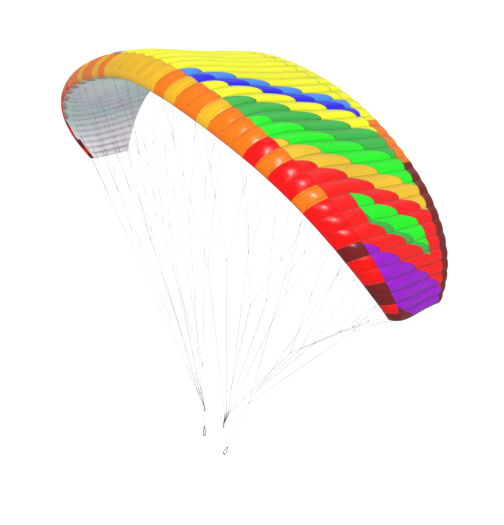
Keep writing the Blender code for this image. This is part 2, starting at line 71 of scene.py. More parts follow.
FLAT_SPAN = 11.30
CELLS = 26                       # cells of one half
CELL_TAPER = 0.548               # the flat cells get narrower by this part
CELL_TAPER_POWER = 1.67
TIP_ANGLE = math.radians(94.5)   # slope of the arc at the tip
ARC_TERMS = (0.869, -1.788, 1.919)     # and how the slope grows with the share of the span
ROOT_PITCH = math.radians(-2.3)
PITCH_TERMS = (math.radians(2.3), math.radians(-3.1))    # second and fourth power
SPAN_SHARES = (0.0, 0.35, 0.6, 0.8, 0.92, 1.0)
CHORDS = (2.63, 2.585, 2.24, 1.81, 1.36, 0.92)           # at the span shares
SETBACKS = (0.0, 0.095, 0.295, 0.61, 0.955, 1.27)
UPPER_WEIGHTS = (0.357, 0.297, 0.055, 0.151)             # of the aerofoil's heights
LOWER_WEIGHTS = (-0.144, -0.153, -0.135, -0.053)
TIP_THICKENING = 0.17
BULGE = 0.10                     # of a cell, as a part of its width
BULGE_START = (0.0, 0.05)        # upper and lower surface
BULGE_GROWTH = (0.09, 0.20)
BULGE_FADE = 0.18
BULGE_FADE_POWER = 0.6
CLOTH = 0.002                    # cloth thickness in the frame
SEAM = 0.0003                    # gap between sewn pieces
SKIN = CLOTH + SEAM / 2          # from the wing's surface to the sails' outer faces
BAND_BACK = 0.142                # share on top where the leading-edge band ends
MOUTH_LIP = 0.012                # and underneath, in front of the mouths
PLAIN_LIP = 0.031                # and past the last of them
MOUTH_DEPTH = 0.038
MOUTH_REACH = 0.85               # cells to each side of a mouth's rib
LAST_MOUTH_RIB = 18
ROW_SHARES = {"a": 0.10, "b": 0.34, "c": 0.62, "brake": 0.985}
# ribs of the top lines, in the groups of the main and middle lines
LINE_GROUPS = (((2, 4), (6, 8)), ((10, 12), (14, 16)), ((18, 20), (22, 24, 26)))
BRAKE_GROUPS = (((4, 6), (8, 10)), ((12, 14), (16, 18)), ((20, 22), (24, 26)))
MAIN_SPLIT = 0.56                # heights where lines divide, as parts of the way up
MIDDLE_SPLIT = 0.80
BRAKE_MAIN_SPLIT = 0.62
RISER_LENGTH = 0.40
STRAP_WIDTH = 0.020
STRAP_THICKNESS = 0.003
STACK_HEIGHT = 0.035             # straps sewn together above the karabiner's loop
LOOP_HEIGHT = 0.050
LOOP_WIDTH = 0.026
LINK_START = RISER_LENGTH + 2 * SEAM
LINK_LENGTH = 0.036
LINK_WIDTH = 0.022
LINK_WIRE = 0.004
HANDLE_WIDTH = 0.070
HANDLE_ROUND = 0.8               # height of its round end, in half widths
HANDLE_SHOULDER = (0.94, 0.55)   # width and height where it begins to narrow, in parts
HANDLE_NECK = 0.30
ORIGIN = 0.25 * CHORDS[0] * np.array([0.0, math.cos(ROOT_PITCH), -math.sin(ROOT_PITCH)])
# points counted from the middle rib's nose, moved to the frame's origin behind it
BRAKE_JOINT = (0.80, 1.66, -6.05) - ORIGIN
HANG_POINT = (0.338, 1.396, -6.756) - ORIGIN
HANDLE_TOP = (0.420, 1.425, -7.168) - ORIGIN
HANDLE_BOTTOM = (0.355, 1.380, -7.355) - ORIGIN

# ---------- dimensions of the looks

SHEET = 0.001                    # thickness of the fine sheets
TAIL_BOW = 0.008                 # arcs of the trailing edge, which begin at TAIL_START
TAIL_START = 0.9
CREASE_COLUMNS = (0.0, 0.045, 0.13, 0.24, 0.37, 0.5, 0.63, 0.76, 0.87, 0.955)   # in a cell
UPPER_ROWS = 84
LOWER_ROWS = 74
LOWER_ROW_POWER = 1.12           # rows lie closer towards the mouths
BAND_ROWS = 40
PUCKER_HEIGHT = 0.0007           # small gathers of the cloth beside a seam
PUCKER_LENGTH = 0.115
PUCKER_REACH = 0.030
POCKET_WIDTH = 0.070             # stitched loops on the band over the ribs' front
POCKET_FRONT = 0.028             # share of the chord where a loop's round end lies
RIB_NOSE = (0.0, 0.0006, 0.003, 0.007)     # shares of a rib's first points
NOSE_REACH = 0.8                 # part of the way to the mouth where they end
RIB_SHARES = 42                  # number of shares behind the mouth
RIB_STEP = 0.01                  # from the mouth's back edge to the first of them
RIB_END = 0.999
RIB_ROWS = 7
RIB_CLEARANCE = 0.0004           # between a rib's edge and the sails' inner faces
TIP_NOSE = (0.0, 0.004, 0.012)   # shares of a tip panel's first points
TIP_START = 0.03                 # where its TIP_SHARES evenly spaced ones begin
TIP_SHARES = 30
TIP_ROWS = 11
TIP_BLOWN = 0.10                 # how far a tip panel is blown out, as a part of its depth
OFF_SEAM = 0.1                   # distance from a seam where a material draws none

STRAP_BODY = 0.8                 # thickness of drawn riser straps, as a part of the frame's
STRAP_PRESSED = 0.45             # from a link's wire to its strap's middle, in thicknesses
STACK_OVERLAP = 0.001            # the straps begin this far inside the karabiner's loop
LOOP_POINTS = 32
LOOP_POWERS = (0.75, 0.85)       # under 1 they make the karabiner's loop fuller than an oval
STRAP_BENDS = ((0.25, 0.0012), (0.5, 0.0015), (1.0, 0.0016))    # part of the way, aside
STRAP_STRAIGHT = 0.055           # straight end of a strap above its link
STRAP_TAIL = ((0.0018, -0.012), (0.0014, -0.030), (0.0013, -0.050))   # aside, back from the link
TACK = 0.0016                    # bar tacks: blocks of thread at these distances
STACK_TACKS = (0.006, 0.013, 0.027, 0.034)
STRAP_TACKS = (-0.014, -0.021, -0.038, -0.045)
NECK_TACKS = (-0.010, -0.016, -0.022)
STACK_TACK_SIZE = (0.78 * STRAP_WIDTH, 3.5 * STRAP_THICKNESS)
STRAP_TACK_SIZE = (0.78 * STRAP_WIDTH, 1.95 * STRAP_THICKNESS)
NECK_TACK_SIZE = (0.86 * STRAP_WIDTH, 3.0 * STRAP_THICKNESS)
LINK_CORNER = 0.95               # radius of a link's corners, as a part of its half width
NUT_RADIUS = 0.0037
NUT_LEVELS = ((-0.0062, 0.75), (-0.0056, 1.0), (0.0056, 1.0), (0.0062, 0.75))  # height, size
LINK_BEVEL = 0.0002
GRIP_ARC = (198, 342)            # degrees of the handle's round end under the grip
GRIP_EXTRA = (0.003, 0.0045)     # how much wider and thicker it is than the strap

MAIN_LINE = 0.0034               # 1 mm thicker than the frame's, to show as in the photo
MIDDLE_LINE = 0.0030
TOP_LINE = 0.0026
SPLICE_LENGTH = 0.055            # sewn end of a line, thicker by SPLICE_SIZE
SPLICE_SIZE = 1.3
SPLICE_REACH = 0.3               # greatest part of a line's length that one end takes
SPLICE_STEPS = (0.004, 0.012)    # lengths over which it thickens and thins again
SPLICE_TAPER = 0.96              # its far end's thickness, as a part of the near one's
CORD_END = 0.9                   # thickness of a cord's very end, in parts
LINE_PITCH = 1.06                # distance of lines side by side, in thicknesses
LINE_ROOM = 0.54                 # half width of a loop that holds lines, for each of them
END_LOOP = 0.013                 # lengths of the end loops on lines, tabs, links, handles
TAB_LOOP = 0.020
LINK_LOOP = 0.018
HANDLE_LOOP = 0.034
HANDLE_LOOP_SLACK = 0.0018
LOOP_SLACK = 0.0003
LOOP_PEAR = 0.3                  # a loop is wider round what it holds by this part
TAB_LENGTH = 0.021               # tape loops that the top lines hang on
TAB_WIDTH = 0.009
TAB_TAPE = 0.0012
TAB_SLACK = 0.0005
TAB_SIDE = ((-0.0070, -0.0012), (-0.0045, 0.010), (-0.0018, TAB_LENGTH - 0.0015))  # ahead, down
CORD_STRANDS = 4                 # ridges of a cord's braid in each direction
CORD_ACROSS = (0.1, 1.0, 0.05)   # any way across the cords

# ---------- wing geometry


def table_curve(values, at):
    """Cubic curve through a row of values at SPAN_SHARES, level at 0 and free at 1."""
    knots, values = np.array(SPAN_SHARES), np.array(values)
    gaps = np.diff(knots)
    slopes = np.diff(values) / gaps
    beside = np.diag(gaps[:-1], 1)
    system = np.diag(2 * (gaps + np.append(0, gaps[:-1]))) + beside + beside.T
    bends = np.append(np.linalg.solve(system, 6 * np.diff(slopes, prepend=0)), 0)
    i = np.clip(np.searchsorted(knots, at) - 1, 0, len(gaps) - 1)
    before = (knots[i + 1] - at) / gaps[i]
    after = 1 - before
    bend = (before ** 3 - before) * bends[i] + (after ** 3 - after) * bends[i + 1]
    return before * values[i] + after * values[i + 1] + bend * gaps[i] ** 2 / 6


def cell_widths():
    """Widths of the half's flat cells, narrower towards the tip."""
    middle = (np.arange(CELLS) + 0.5) / CELLS
    relative = 1 - CELL_TAPER * middle ** CELL_TAPER_POWER
    return relative / relative.sum() * FLAT_SPAN / 2


def arc_angle(u):
    """Slope of the arc at a share of the half span."""
    return TIP_ANGLE * (ARC_TERMS[0] * u + ARC_TERMS[1] * u ** 2 + ARC_TERMS[2] * u ** 3)


def arc_line(steps=400):
    """Shares of the half span with the x and z of the arc there, summed from its slope."""
    u = np.linspace(0, 1, steps + 1)
    middle = arc_angle((u[1:] + u[:-1]) / 2)
    step = FLAT_SPAN / 2 / steps
    x = np.append(0, np.cumsum(np.cos(middle) * step))
    z = np.append(0, np.cumsum(-np.sin(middle) * step))
    return u, x, z


WIDTHS = cell_widths()
RIB_SPANS = np.append(0, np.cumsum(WIDTHS))
ARC_U, ARC_X, ARC_Z = arc_line()


def span_share(position):
    """Share of the half span at a span position."""
    return np.interp(position, np.arange(CELLS + 1), RIB_SPANS / RIB_SPANS[-1])


def chord_at(position):
    return table_curve(CHORDS, span_share(position))


def bulge_share(station):
    """How much of its full height a cell's bulge has at the stations."""
    share, upper = np.abs(station), station >= 0
    start, growth = np.where(upper, *BULGE_START), np.where(upper, *BULGE_GROWTH)
    grown = np.clip((share - start) / growth, 0, 1)
    fade = np.clip((1 - share) / BULGE_FADE, 0, 1) ** BULGE_FADE_POWER
    return grown ** 2 * (3 - 2 * grown) * fade


def section_height(root, share_of_span, weights):
    """Height over the chord line as a share of the chord; root squared is the share."""
    share = root * root
    rest = 1 - share
    a, b, c, d = weights
    blend = a * rest ** 3 + 3 * b * share * rest ** 2 + 3 * c * share ** 2 * rest + d * share ** 3
    return root * rest * blend * (1 + TIP_THICKENING * share_of_span ** 4)


def wing(position, station, lift=0.0):
    """Points (..., 3) of the left half's surface, lift away from it, for arrays of places."""
    position, station, lift = np.broadcast_arrays(
        *(np.asarray(values, float) for values in (position, station, lift)))
    u = span_share(position)
    chord = table_curve(CHORDS, u)
    angle = arc_angle(u)
    pitch = ROOT_PITCH + PITCH_TERMS[0] * u ** 2 + PITCH_TERMS[1] * u ** 4
    upper = station >= 0
    sign = np.where(upper, 1.0, -1.0)
    share = np.abs(station)
    root = np.sqrt(share)

    def height(r):
        return np.where(upper, section_height(r, u, UPPER_WEIGHTS),
                        section_height(r, u, LOWER_WEIGHTS))

    step = 1e-4
    low, high = np.clip(root - step, 0, 1), np.clip(root + step, 0, 1)
    rise = (height(high) - height(low)) / (high - low)
    normal_back, normal_up = -rise * sign, 2 * root * sign
    size = np.hypot(normal_back, normal_up)
    cell = np.minimum(position.astype(int), CELLS - 1)
    across = position - cell
    arch = 4 * across * (1 - across)         # 0 at the ribs and 1 in a cell's middle
    out = (lift + BULGE * WIDTHS[cell] * arch * bulge_share(station)) / size
    bow = TAIL_BOW * arch * np.clip((share - TAIL_START) / (1 - TAIL_START), 0, 1) ** 2
    back = share * chord + normal_back * out + bow
    up = height(root) * chord + normal_up * out + bow
    climb = up * np.cos(pitch) - back * np.sin(pitch)
    x = np.interp(u, ARC_U, ARC_X) + np.sin(angle) * climb
    y = table_curve(SETBACKS, u) + back * np.cos(pitch) + up * np.sin(pitch)
    z = np.interp(u, ARC_U, ARC_Z) + np.cos(angle) * climb
    return np.stack([x, y, z], -1) - ORIGIN


def outward(position):
    """Unit vector along the arc towards the tip, square to a rib."""
    angle = arc_angle(span_share(position))
    return np.array([math.cos(angle), 0.0, -math.sin(angle)])


def lip_share(position):
    """Share of the chord underneath where the leading-edge band ends."""
    past_mouths = np.clip(position - LAST_MOUTH_RIB - 1, 0, 1)
    return MOUTH_LIP + (PLAIN_LIP - MOUTH_LIP) * past_mouths


def mouth_depth(position):
    """How far the intake mouth reaches back from the band's edge, as a share."""
    rib = 2 * np.round(position / 2)
    beside = (position - rib) / MOUTH_REACH
    depth = MOUTH_DEPTH * np.sqrt(np.clip(1 - beside ** 2, 0, None))
    return np.where(rib > LAST_MOUTH_RIB, 0.0, depth)


# ---------- vectors and mesh helpers


def unit(v):
    return v / np.linalg.norm(v, axis=-1, keepdims=True)


def square(a, b):
    """Unit vector square to two vectors."""
    return unit(np.cross(a, b))


def level(way):
    """Unit vector sideways and square to a way."""
    return unit(SIDEWAYS - way * way[0])


def turns(start, stop, count):
    """Cosines and sines (count, 2) of angles from start to stop, in degrees."""
    angles = np.radians(np.linspace(start, stop, count))
    return np.stack([np.cos(angles), np.sin(angles)], -1)


def ring(sides):
    """Cosines and sines round a circle."""
    return turns(0, 360, sides + 1)[:-1]


def plane(centre, one, other, flat):
    """Points whose flat coordinates (n, 2) count from centre along two vectors."""
    return centre + np.asarray(flat) @ np.array([one, other])


def mirrored(side, middle=()):
    """Outline points of one side, those in the middle, and the side's mirror image."""
    return [*side, *middle, *((-x, y) for x, y in side[::-1])]


def spacing(points):
    """Distances along each row of points, from its start."""
    step = np.linalg.norm(np.diff(points, axis=-2), axis=-1)
    return np.insert(np.cumsum(step, -1), 0, 0.0, -1)


def smooth_path(knots, steps=8, closed=False):
    """Catmull-Rom curve through knots."""
    knots = np.asarray(knots, float)
    spans = np.arange(len(knots) if closed else len(knots) - 1)
    mode = "wrap" if closed else "clip"
    a, b, c, d = (knots.take(spans + shift, 0, mode=mode)[:, None] for shift in (-1, 0, 1, 2))
    t = (np.arange(steps) / steps)[:, None]
    curve = (2 * b + (c - a) * t + (2 * a - 5 * b + 4 * c - d) * t ** 2
             + (3 * b - a - 3 * c + d) * t ** 3) / 2
    curve = curve.reshape(-1, 3)
    return curve if closed else np.append(curve, knots[-1:], 0)


def strap_section(width, thickness, corners=3):
    """Outline of a flat strap with round edges, as (across, through) pairs."""
    end = thickness / 2 * turns(-90, 90, corners + 1) + (width / 2 - thickness / 2, 0)
    return np.concatenate([end, -end])


def sweep(path, across, section, closed=False):
    """Mesh of a section moved along a path; across gives the section's first axis."""
    if closed:
        tangent = np.roll(path, -1, 0) - np.roll(path, 1, 0)
    else:
        tangent = np.gradient(path, axis=0)
    tangent = unit(tangent)
    across = unit(across - tangent * (tangent @ across)[:, None])
    through = np.cross(tangent, across)
    count, sides = len(path), section.shape[-2]
    section = np.broadcast_to(section, (count, sides, 2))
    points = (path[:, None] + across[:, None] * section[..., :1]
              + through[:, None] * section[..., 1:])
    place = np.arange(count * sides).reshape(count, sides)
    here = place if closed else place[:-1]
    ahead = np.roll(place, -1, 0)[:len(here)]
    faces = np.stack([here, ahead, np.roll(ahead, -1, 1), np.roll(here, -1, 1)], -1)
    faces = faces.reshape(-1, 4).tolist()
    if not closed:
        faces += [place[0, ::-1].tolist(), place[-1].tolist()]
    along = np.repeat(spacing(path)[:, None, None], sides, 1)
    strap = np.concatenate([along, section], -1)
    return points.reshape(-1, 3), faces, strap.reshape(-1, 3)


def sheet_faces(columns, rows):
    """Faces of a closed sheet: the outer layer, the inner layer and then the rim."""
    i, j = np.meshgrid(np.arange(columns - 1), np.arange(rows - 1), indexing="ij")
    a = (i * rows + j).ravel()
    outer = np.stack([a, a + rows, a + rows + 1, a + 1], -1)
    inner = outer[:, ::-1] + columns * rows
    place = np.arange(columns * rows).reshape(columns, rows)
    edge = np.concatenate([place[:-1, 0], place[-1, :-1], place[:0:-1, -1], place[0, :0:-1]])
    after = np.roll(edge, -1)
    sides = np.stack([edge, edge + place.size, after + place.size, after], -1)
    return np.concatenate([outer, inner, sides])


def outwards(points, faces):
    """The four-cornered faces, turned if they enclose a negative volume."""
    a, b, c, d = points[faces].transpose(1, 0, 2)
    volume = (a * (np.cross(b, c) + np.cross(c, d))).sum()
    return faces if volume > 0 else faces[:, ::-1]


def flat_facts(grid):
    """Greatest lengths of a sheet's grid along its two axes, and its area laid open."""
    first, second = np.diff(grid, axis=0), np.diff(grid, axis=1)
    one, two = np.cross(first[:, :-1], second[1:]), np.cross(first[:, 1:], second[:-1])
    area = (np.linalg.norm(one, axis=-1) + np.linalg.norm(two, axis=-1)).sum() / 2
    lengths = (np.linalg.norm(step, axis=-1).sum(axis).max()
               for axis, step in enumerate((first, second)))
    return (*map(float, lengths), float(area))


def linked(obj):
    """The object, put into the scene."""
    bpy.context.scene.collection.objects.link(obj)
    return obj


def sided(name, side):
    return f"{name}_{side}" if side else name


def add_pieces(name, points, faces, materials, slot, nodes=(), sides=SIDES, smooth=None,
               **vectors):
    """A piece on each side, the right one mirrored; returns the objects by side.

    It hides those of the nodes that the frame has, and takes their place.  vectors are vector
    attributes of its points.  The faces after the number smooth, a sheet's rim, are shaded flat.
    """
    made = {}
    for side, sign in sides:
        piece = sided(name, side)
        mesh = bpy.data.meshes.new(piece)
        turned = [[int(i) for i in face[::sign]] for face in faces]
        mesh.from_pydata((points * (sign, 1, 1)).tolist(), [], turned)
        smooth_faces = np.arange(len(faces)) < (smooth or len(faces))
        mesh.polygons.foreach_set("use_smooth", smooth_faces)
        for material in materials:
            mesh.materials.append(material)
        mesh.update()
        for attribute, values in vectors.items():
            data = mesh.attributes.new(attribute, "FLOAT_VECTOR", "POINT").data
            data.foreach_set("vector", np.asarray(values, np.float32).ravel())
        obj = made[side] = linked(bpy.data.objects.new(piece, mesh))
        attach(obj, "root")
        replaced = [sided(node, side) for node in nodes if sided(node, side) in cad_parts]
        if replaced:
            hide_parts(*replaced)
    return made


def add_straps(name, parts, material, slot, nodes=()):
    """Swept parts (points, faces, strap) joined into one piece on each side."""
    faces, start = [], 0
    for part_points, part_faces, _ in parts:
        faces += [[i + start for i in face] for face in part_faces]
        start += len(part_points)
    points, straps = (np.concatenate([part[k] for part in parts]) for k in (0, 2))
    pieces = add_pieces(name, points, faces, [material], slot, nodes, strap=straps)
    for obj in pieces.values():
        bm = bmesh.new()
        bm.from_mesh(obj.data)
        bmesh.ops.recalc_face_normals(bm, faces=bm.faces)
        bm.to_mesh(obj.data)
        bm.free()
    return pieces


# ---------- node materials


class Nodes:
    """A node tree under construction; values are sockets or plain numbers."""

    def __init__(self, tree):
        self.tree = tree

    def put(self, socket, value):
        if isinstance(value, bpy.types.NodeSocket):
            self.tree.links.new(value, socket)
        elif isinstance(value, tuple) and socket.type == "RGBA":
            socket.default_value = (*value[:3], 1.0)
        else:
            socket.default_value = value

    def node(self, kind, inputs, **settings):
        """A new node; inputs has values for its sockets by number or name."""
        made = self.tree.nodes.new(f"ShaderNode{kind}")
        for name, value in settings.items():
            setattr(made, name, value)
        for socket, value in inputs.items():
            self.put(made.inputs[socket], value)
        return made

    def math(self, operation, *values):
        return self.node("Math", dict(enumerate(values)), operation=operation).outputs[0]

    plus = partialmethod(math, "ADD")
    minus = partialmethod(math, "SUBTRACT")
    over = partialmethod(math, "GREATER_THAN")
    under = partialmethod(math, "LESS_THAN")
    size = partialmethod(math, "ABSOLUTE")

    def part(self, value, unit_size=None):
        """What is left of a value, or of its number of unit sizes, after whole ones."""
        return self.math("FRACT", self.math("DIVIDE", value, unit_size) if unit_size else value)

    def either(self, *values):
        """The largest of the values."""
        return reduce(partial(self.math, "MAXIMUM"), values)

    def both(self, *values):
        """The product of the values."""
        return reduce(partial(self.math, "MULTIPLY"), values)

    def spread(self, value, low, high):
        """value from 0..1 to low..high."""
        return self.math("MULTIPLY_ADD", value, high - low, low)

    def fall(self, value, full, none):
        """1 at full, falling to 0 at none, and level past both."""
        return self.node("MapRange", dict(enumerate((value, full, none, 1.0, 0.0)))).outputs[0]

    def line(self, value, half, soft, at=0.0):
        """1 where value is within half of at, falling to 0 over soft."""
        return self.fall(self.size(self.minus(value, at)), half, half + soft)

    def within(self, value, low, high, soft):
        """1 from low to high, falling to 0 over soft past them."""
        return self.both(self.fall(value, low, low - soft), self.fall(value, high, high + soft))

    def noise(self, vector, scale, detail=3.0):
        inputs = {"Vector": vector, "Scale": scale, "Detail": detail}
        return self.node("TexNoise", inputs).outputs[0]

    def mottled(self, vector, scale, low, high, detail=3.0):
        """Noise spread over low..high."""
        return self.spread(self.noise(vector, scale, detail), low, high)

    def parts(self, vector):
        return tuple(self.node("SeparateXYZ", {0: vector}).outputs)

    def attribute(self, name):
        """The three parts of a vector attribute, and the vector."""
        vector = self.node("Attribute", {}, attribute_name=name).outputs["Vector"]
        return *self.parts(vector), vector

    def place(self, kind="Object"):
        return self.node("TexCoord", {}).outputs[kind]

    def mix(self, factor, a, b, blend="MIX"):
        inputs = {0: factor, 6: a, 7: b}
        return self.node("Mix", inputs, data_type="RGBA", blend_type=blend).outputs[2]

    def steps(self, value, stops):
        """Colour of the last stop (start, colour) that value has passed."""
        result = stops[0][1]
        for start, colour in stops[1:]:
            result = self.mix(self.over(value, start), result, colour)
        return result

    def grey(self, value):
        return self.node("CombineColor", {0: value, 1: value, 2: value}).outputs[0]

    def tinted(self, colour, *tones):
        """The colour, darkened or lightened by the tones."""
        return self.mix(1.0, colour, self.grey(self.both(*tones)), "MULTIPLY")


class Shade(Nodes):
    """A material under construction."""

    def __init__(self, name, roughness, specular=0.5, metallic=0.0, sheen=0.0):
        self.material = bpy.data.materials.new(name)
        self.material.use_nodes = True
        super().__init__(self.material.node_tree)
        self.shader = self.tree.nodes["Principled BSDF"]
        self.fill_in(("Roughness", roughness), ("Specular IOR Level", specular),
                     ("Metallic", metallic), ("Sheen Weight", sheen))

    def fill_in(self, *settings):
        for socket, value in settings:
            self.put(self.shader.inputs[socket], value)

    def glow(self, colour, strength):
        self.fill_in(("Emission Color", colour), ("Emission Strength", strength))

    def bump(self, height, distance, strength=1.0, below=None):
        """Normal of a height in units of distance, over that of a bump below."""
        inputs = {"Height": height, "Distance": distance, "Strength": strength}
        if below is not None:
            inputs["Normal"] = below
        return self.node("Bump", inputs).outputs[0]

    def finish(self, colour, normal=None, roughness=None, through=0.0):
        """The material; through is the share of the light that passes the cloth."""
        self.fill_in(("Base Color", colour))
        if normal is not None:
            self.fill_in(("Normal", normal))
        if roughness is not None:
            self.fill_in(("Roughness", roughness))
        if through:
            back = self.node("BsdfTranslucent", {"Color": colour}).outputs[0]
            mixed = self.node("MixShader", {0: through, 1: self.shader.outputs[0], 2: back})
            self.put(self.tree.nodes["Material Output"].inputs["Surface"], mixed.outputs[0])
        return self.material


# ---------- cloth colours

DULL = 0.96       # cloth is a little darker than the display colour under the studio light


def linear_colour(red, green, blue, share=DULL):
    """Linear colour of an 8-bit display colour, times a share."""
    c = np.array([red, green, blue]) / 255
    bright = np.where(c <= 0.04045, c / 12.92, ((c + 0.055) / 1.055) ** 2.4)
    return tuple((bright * share).tolist())


YELLOW = linear_colour(253, 255, 34, 1.02)
OCHRE = linear_colour(250, 196, 40)
AMBER = linear_colour(247, 200, 45)
ORANGE = linear_colour(255, 128, 20)
RED = linear_colour(255, 16, 16)
MAROON = linear_colour(122, 28, 30)
BLUE = linear_colour(40, 30, 255)
LIGHT_BLUE = linear_colour(70, 150, 255)
DARK_GREEN = linear_colour(58, 192, 76)
GREEN = linear_colour(25, 250, 30)
PURPLE = linear_colour(158, 9, 210)
PALE = linear_colour(185, 196, 207, 1.0)
PALE_MIDDLE = linear_colour(214, 219, 223, 1.0)
# painted light: the underside lighter towards the tip
LIT_PALE_TIP = linear_colour(255, 252, 255, 1.0)
# painted light: tints of the light that comes through the upper sail onto the underside
GREEN_THROUGH_LIGHT = linear_colour(120, 225, 150, 1.0)
ROSE_THROUGH_LIGHT = linear_colour(225, 150, 215, 1.0)
# painted shade: the white ribs and the sails' inner faces are drawn grey, as they look in the
# shade inside the cells
SHADED_INNER_GREY = linear_colour(150, 144, 138, 1.0)
INNER_GLOW = 0.26                # painted light: a glow that stands in for the daylight coming through the cells' outer cloth
INNER_LIGHT = (1.0, 0.93, 0.88)
SEAM_SHADOW = (0.02, 0.02, 0.022)
STITCH_GREY = (0.25, 0.25, 0.25)
WORN_GREY = (0.30, 0.32, 0.35)
WHITE = (1.0, 1.0, 1.0)

# colours of the leading-edge band's cells, from the middle out
BAND_COLOURS = (
    (0, OCHRE), (3, ORANGE), (4, OCHRE), (5, ORANGE), (7, OCHRE), (8, ORANGE),
    (11, RED), (12, ORANGE), (13, RED), (15, ORANGE), (16, RED), (19, MAROON),
    (20, RED), (22, MAROON), (24, RED), (25, MAROON),
)
TIP_FRONT = (22.4, 0.070)        # where the band's colours go on underneath: cell and share
# slanting stripes of the upper sail: cells from the middle, counted on the band's back edge
SLANT = 6.5
BOW = 0.34                       # how far a stripe's edge bows back within a cell, in cells
STRIPES = (
    (0.0, YELLOW), (3.4, LIGHT_BLUE), (4.3, BLUE), (5.2, YELLOW), (7.0, DARK_GREEN),
    (9.3, GREEN), (11.6, AMBER), (13.4, RED), (19.4, PURPLE), (24.6, MAROON),
)
REAR_STRIPE = 0.910
REAR_BOW = 0.014
REAR_COLOURS = ((0, YELLOW), (10.5, ORANGE), (14.5, MAROON))
BAR = (15.0, 17.4, 0.30, 0.78)   # slanting bar in the red: from, to, front, back
BAR_EDGE = 0.55
# drawn seams: half width and soft edge, in cells for the stripes, else in shares or metres
STRIPE_SEAM = (0.022, 0.02)
BAR_SEAM = (0.003, 0.003)
REAR_SEAM = (0.0025, 0.0025)
BAND_SEAM = (0.0014, 0.0012)
ROW_SEAM = (0.0007, 0.0005)
RIB_SEAM = (0.0030, 0.0055)
POCKET_SEAM = (0.0030, 0.0030)
STITCHES = (0.0005, 0.0004)
STITCH_ROW = 0.0065              # distance of the stitches from the seam's middle
STITCH_LENGTH = 0.004
STITCH_DRAWN = 0.62              # part of a stitch's length that shows
RIPSTOP = 0.005                  # spacing of the weave's raised threads
RIPSTOP_THREAD = (0.06, 0.05)    # parts of the spacing
# tones of a cloth, darkest and lightest, and the scales of its noises, in parts per metre
CELL_TONES = (0.965, 1.0)
CLOUD_TONES = (0.955, 1.03)
GRAIN_TONES = (0.985, 1.015)
GRID_TONES = (1.0, 0.965)        # beside and on the raised threads
CLOUD_SCALE = 2.2
GRAIN_SCALE = 60.0
GLOSS_SCALE = 5.0
FOLD_SCALE = 9.0
GLOSS_CHANGE = (-0.05, 0.07)
SEAM_ROUGHNESS = 0.15
SEAM_DARKEST = 0.85
STITCH_SHOWN = 0.3
UPPER_SHOWN, BAND_SHOWN, LOWER_SHOWN = 0.62, 0.5, 0.06   # strength of a sail's own seams
BUMP_HEIGHT = 0.0006             # of the seams; the grid and the folds as parts of it
GRID_HEIGHT = 0.15
FOLD_HEIGHT = 1.6
CELL_WIDTH = (-0.0042, 0.27)     # change for each cell outwards, and the middle cell's
FULL_FROM = (0.12, 0.02)         # shares where a cell is full and where it begins
OUTER_CELLS = (24.0, 12.0)       # cells with the tip's and the middle's fullness
# underneath: a lighter middle, and painted light: a lighter tip and tints of light through the
# upper sail; pairs are where each is full and where it ends
TIP_CELLS = (24.0, 18.0)
MIDDLE_CELLS = (8.0, 15.0)
GREEN_CELLS = (19.0, 22.0)
GREEN_CLOUDS = (0.34, 0.66)
ROSE_CLOUDS = (0.70, 0.44)
ROSE_REAR = (-0.92, -0.70)
GREEN_TINT = 0.24
ROSE_TINT = 0.07
THROUGH_TINT = 0.07
TINT_SCALE = 0.55                # of the tints' noise
THROUGH_SCALE = 0.8              # of the noise in what shows through


def sail_colours(s, span, share):
    """Colour of the upper sail's panels and a mask of the seams between them."""
    low, high, front, back = BAR
    part = s.part(span)
    bow = s.both(part, s.minus(1.0, part), 4.0)
    slant = s.math("MULTIPLY_ADD", share, -SLANT, s.plus(span, SLANT * BAND_BACK))
    slant = s.math("MULTIPLY_ADD", bow, BOW, slant)
    colour = s.steps(slant, STRIPES)
    seams = [s.line(slant, *STRIPE_SEAM, at=start) for start, _ in STRIPES[1:]]
    inside = s.both(s.over(slant, low), s.under(slant, high),
                    s.over(share, front), s.under(share, back))
    colour = s.mix(inside, colour, GREEN)
    edge = s.both(inside, s.over(slant, high - BAR_EDGE))
    colour = s.mix(edge, colour, DARK_GREEN)
    beside = s.within(share, front, back, 0.01)
    for start in (low, high - BAR_EDGE, high):
        seams.append(s.both(beside, s.line(slant, *STRIPE_SEAM, at=start)))
    along = s.within(slant, low, high, 0.02)
    for end in (front, back):
        seams.append(s.both(along, s.line(share, *BAR_SEAM, at=end)))
    share = s.math("MULTIPLY_ADD", bow, -REAR_BOW, share)
    colour = s.mix(s.over(share, REAR_STRIPE), colour, s.steps(span, REAR_COLOURS))
    seams.append(s.line(share, *REAR_SEAM, at=REAR_STRIPE))
    return colour, s.either(*seams)


def weave(s, cloth):
    """Mask of the ripstop weave's raised threads."""
    threads = [s.line(s.part(way, RIPSTOP), *RIPSTOP_THREAD, at=0.5)
               for way in s.parts(cloth)[:2]]
    return s.either(*threads)


def stitches(s, across, along):
    """Mask of a dashed row on each side of a seam."""
    row = s.line(s.size(across), *STITCHES, at=STITCH_ROW)
    return s.both(row, s.under(s.part(along, STITCH_LENGTH), STITCH_DRAWN))


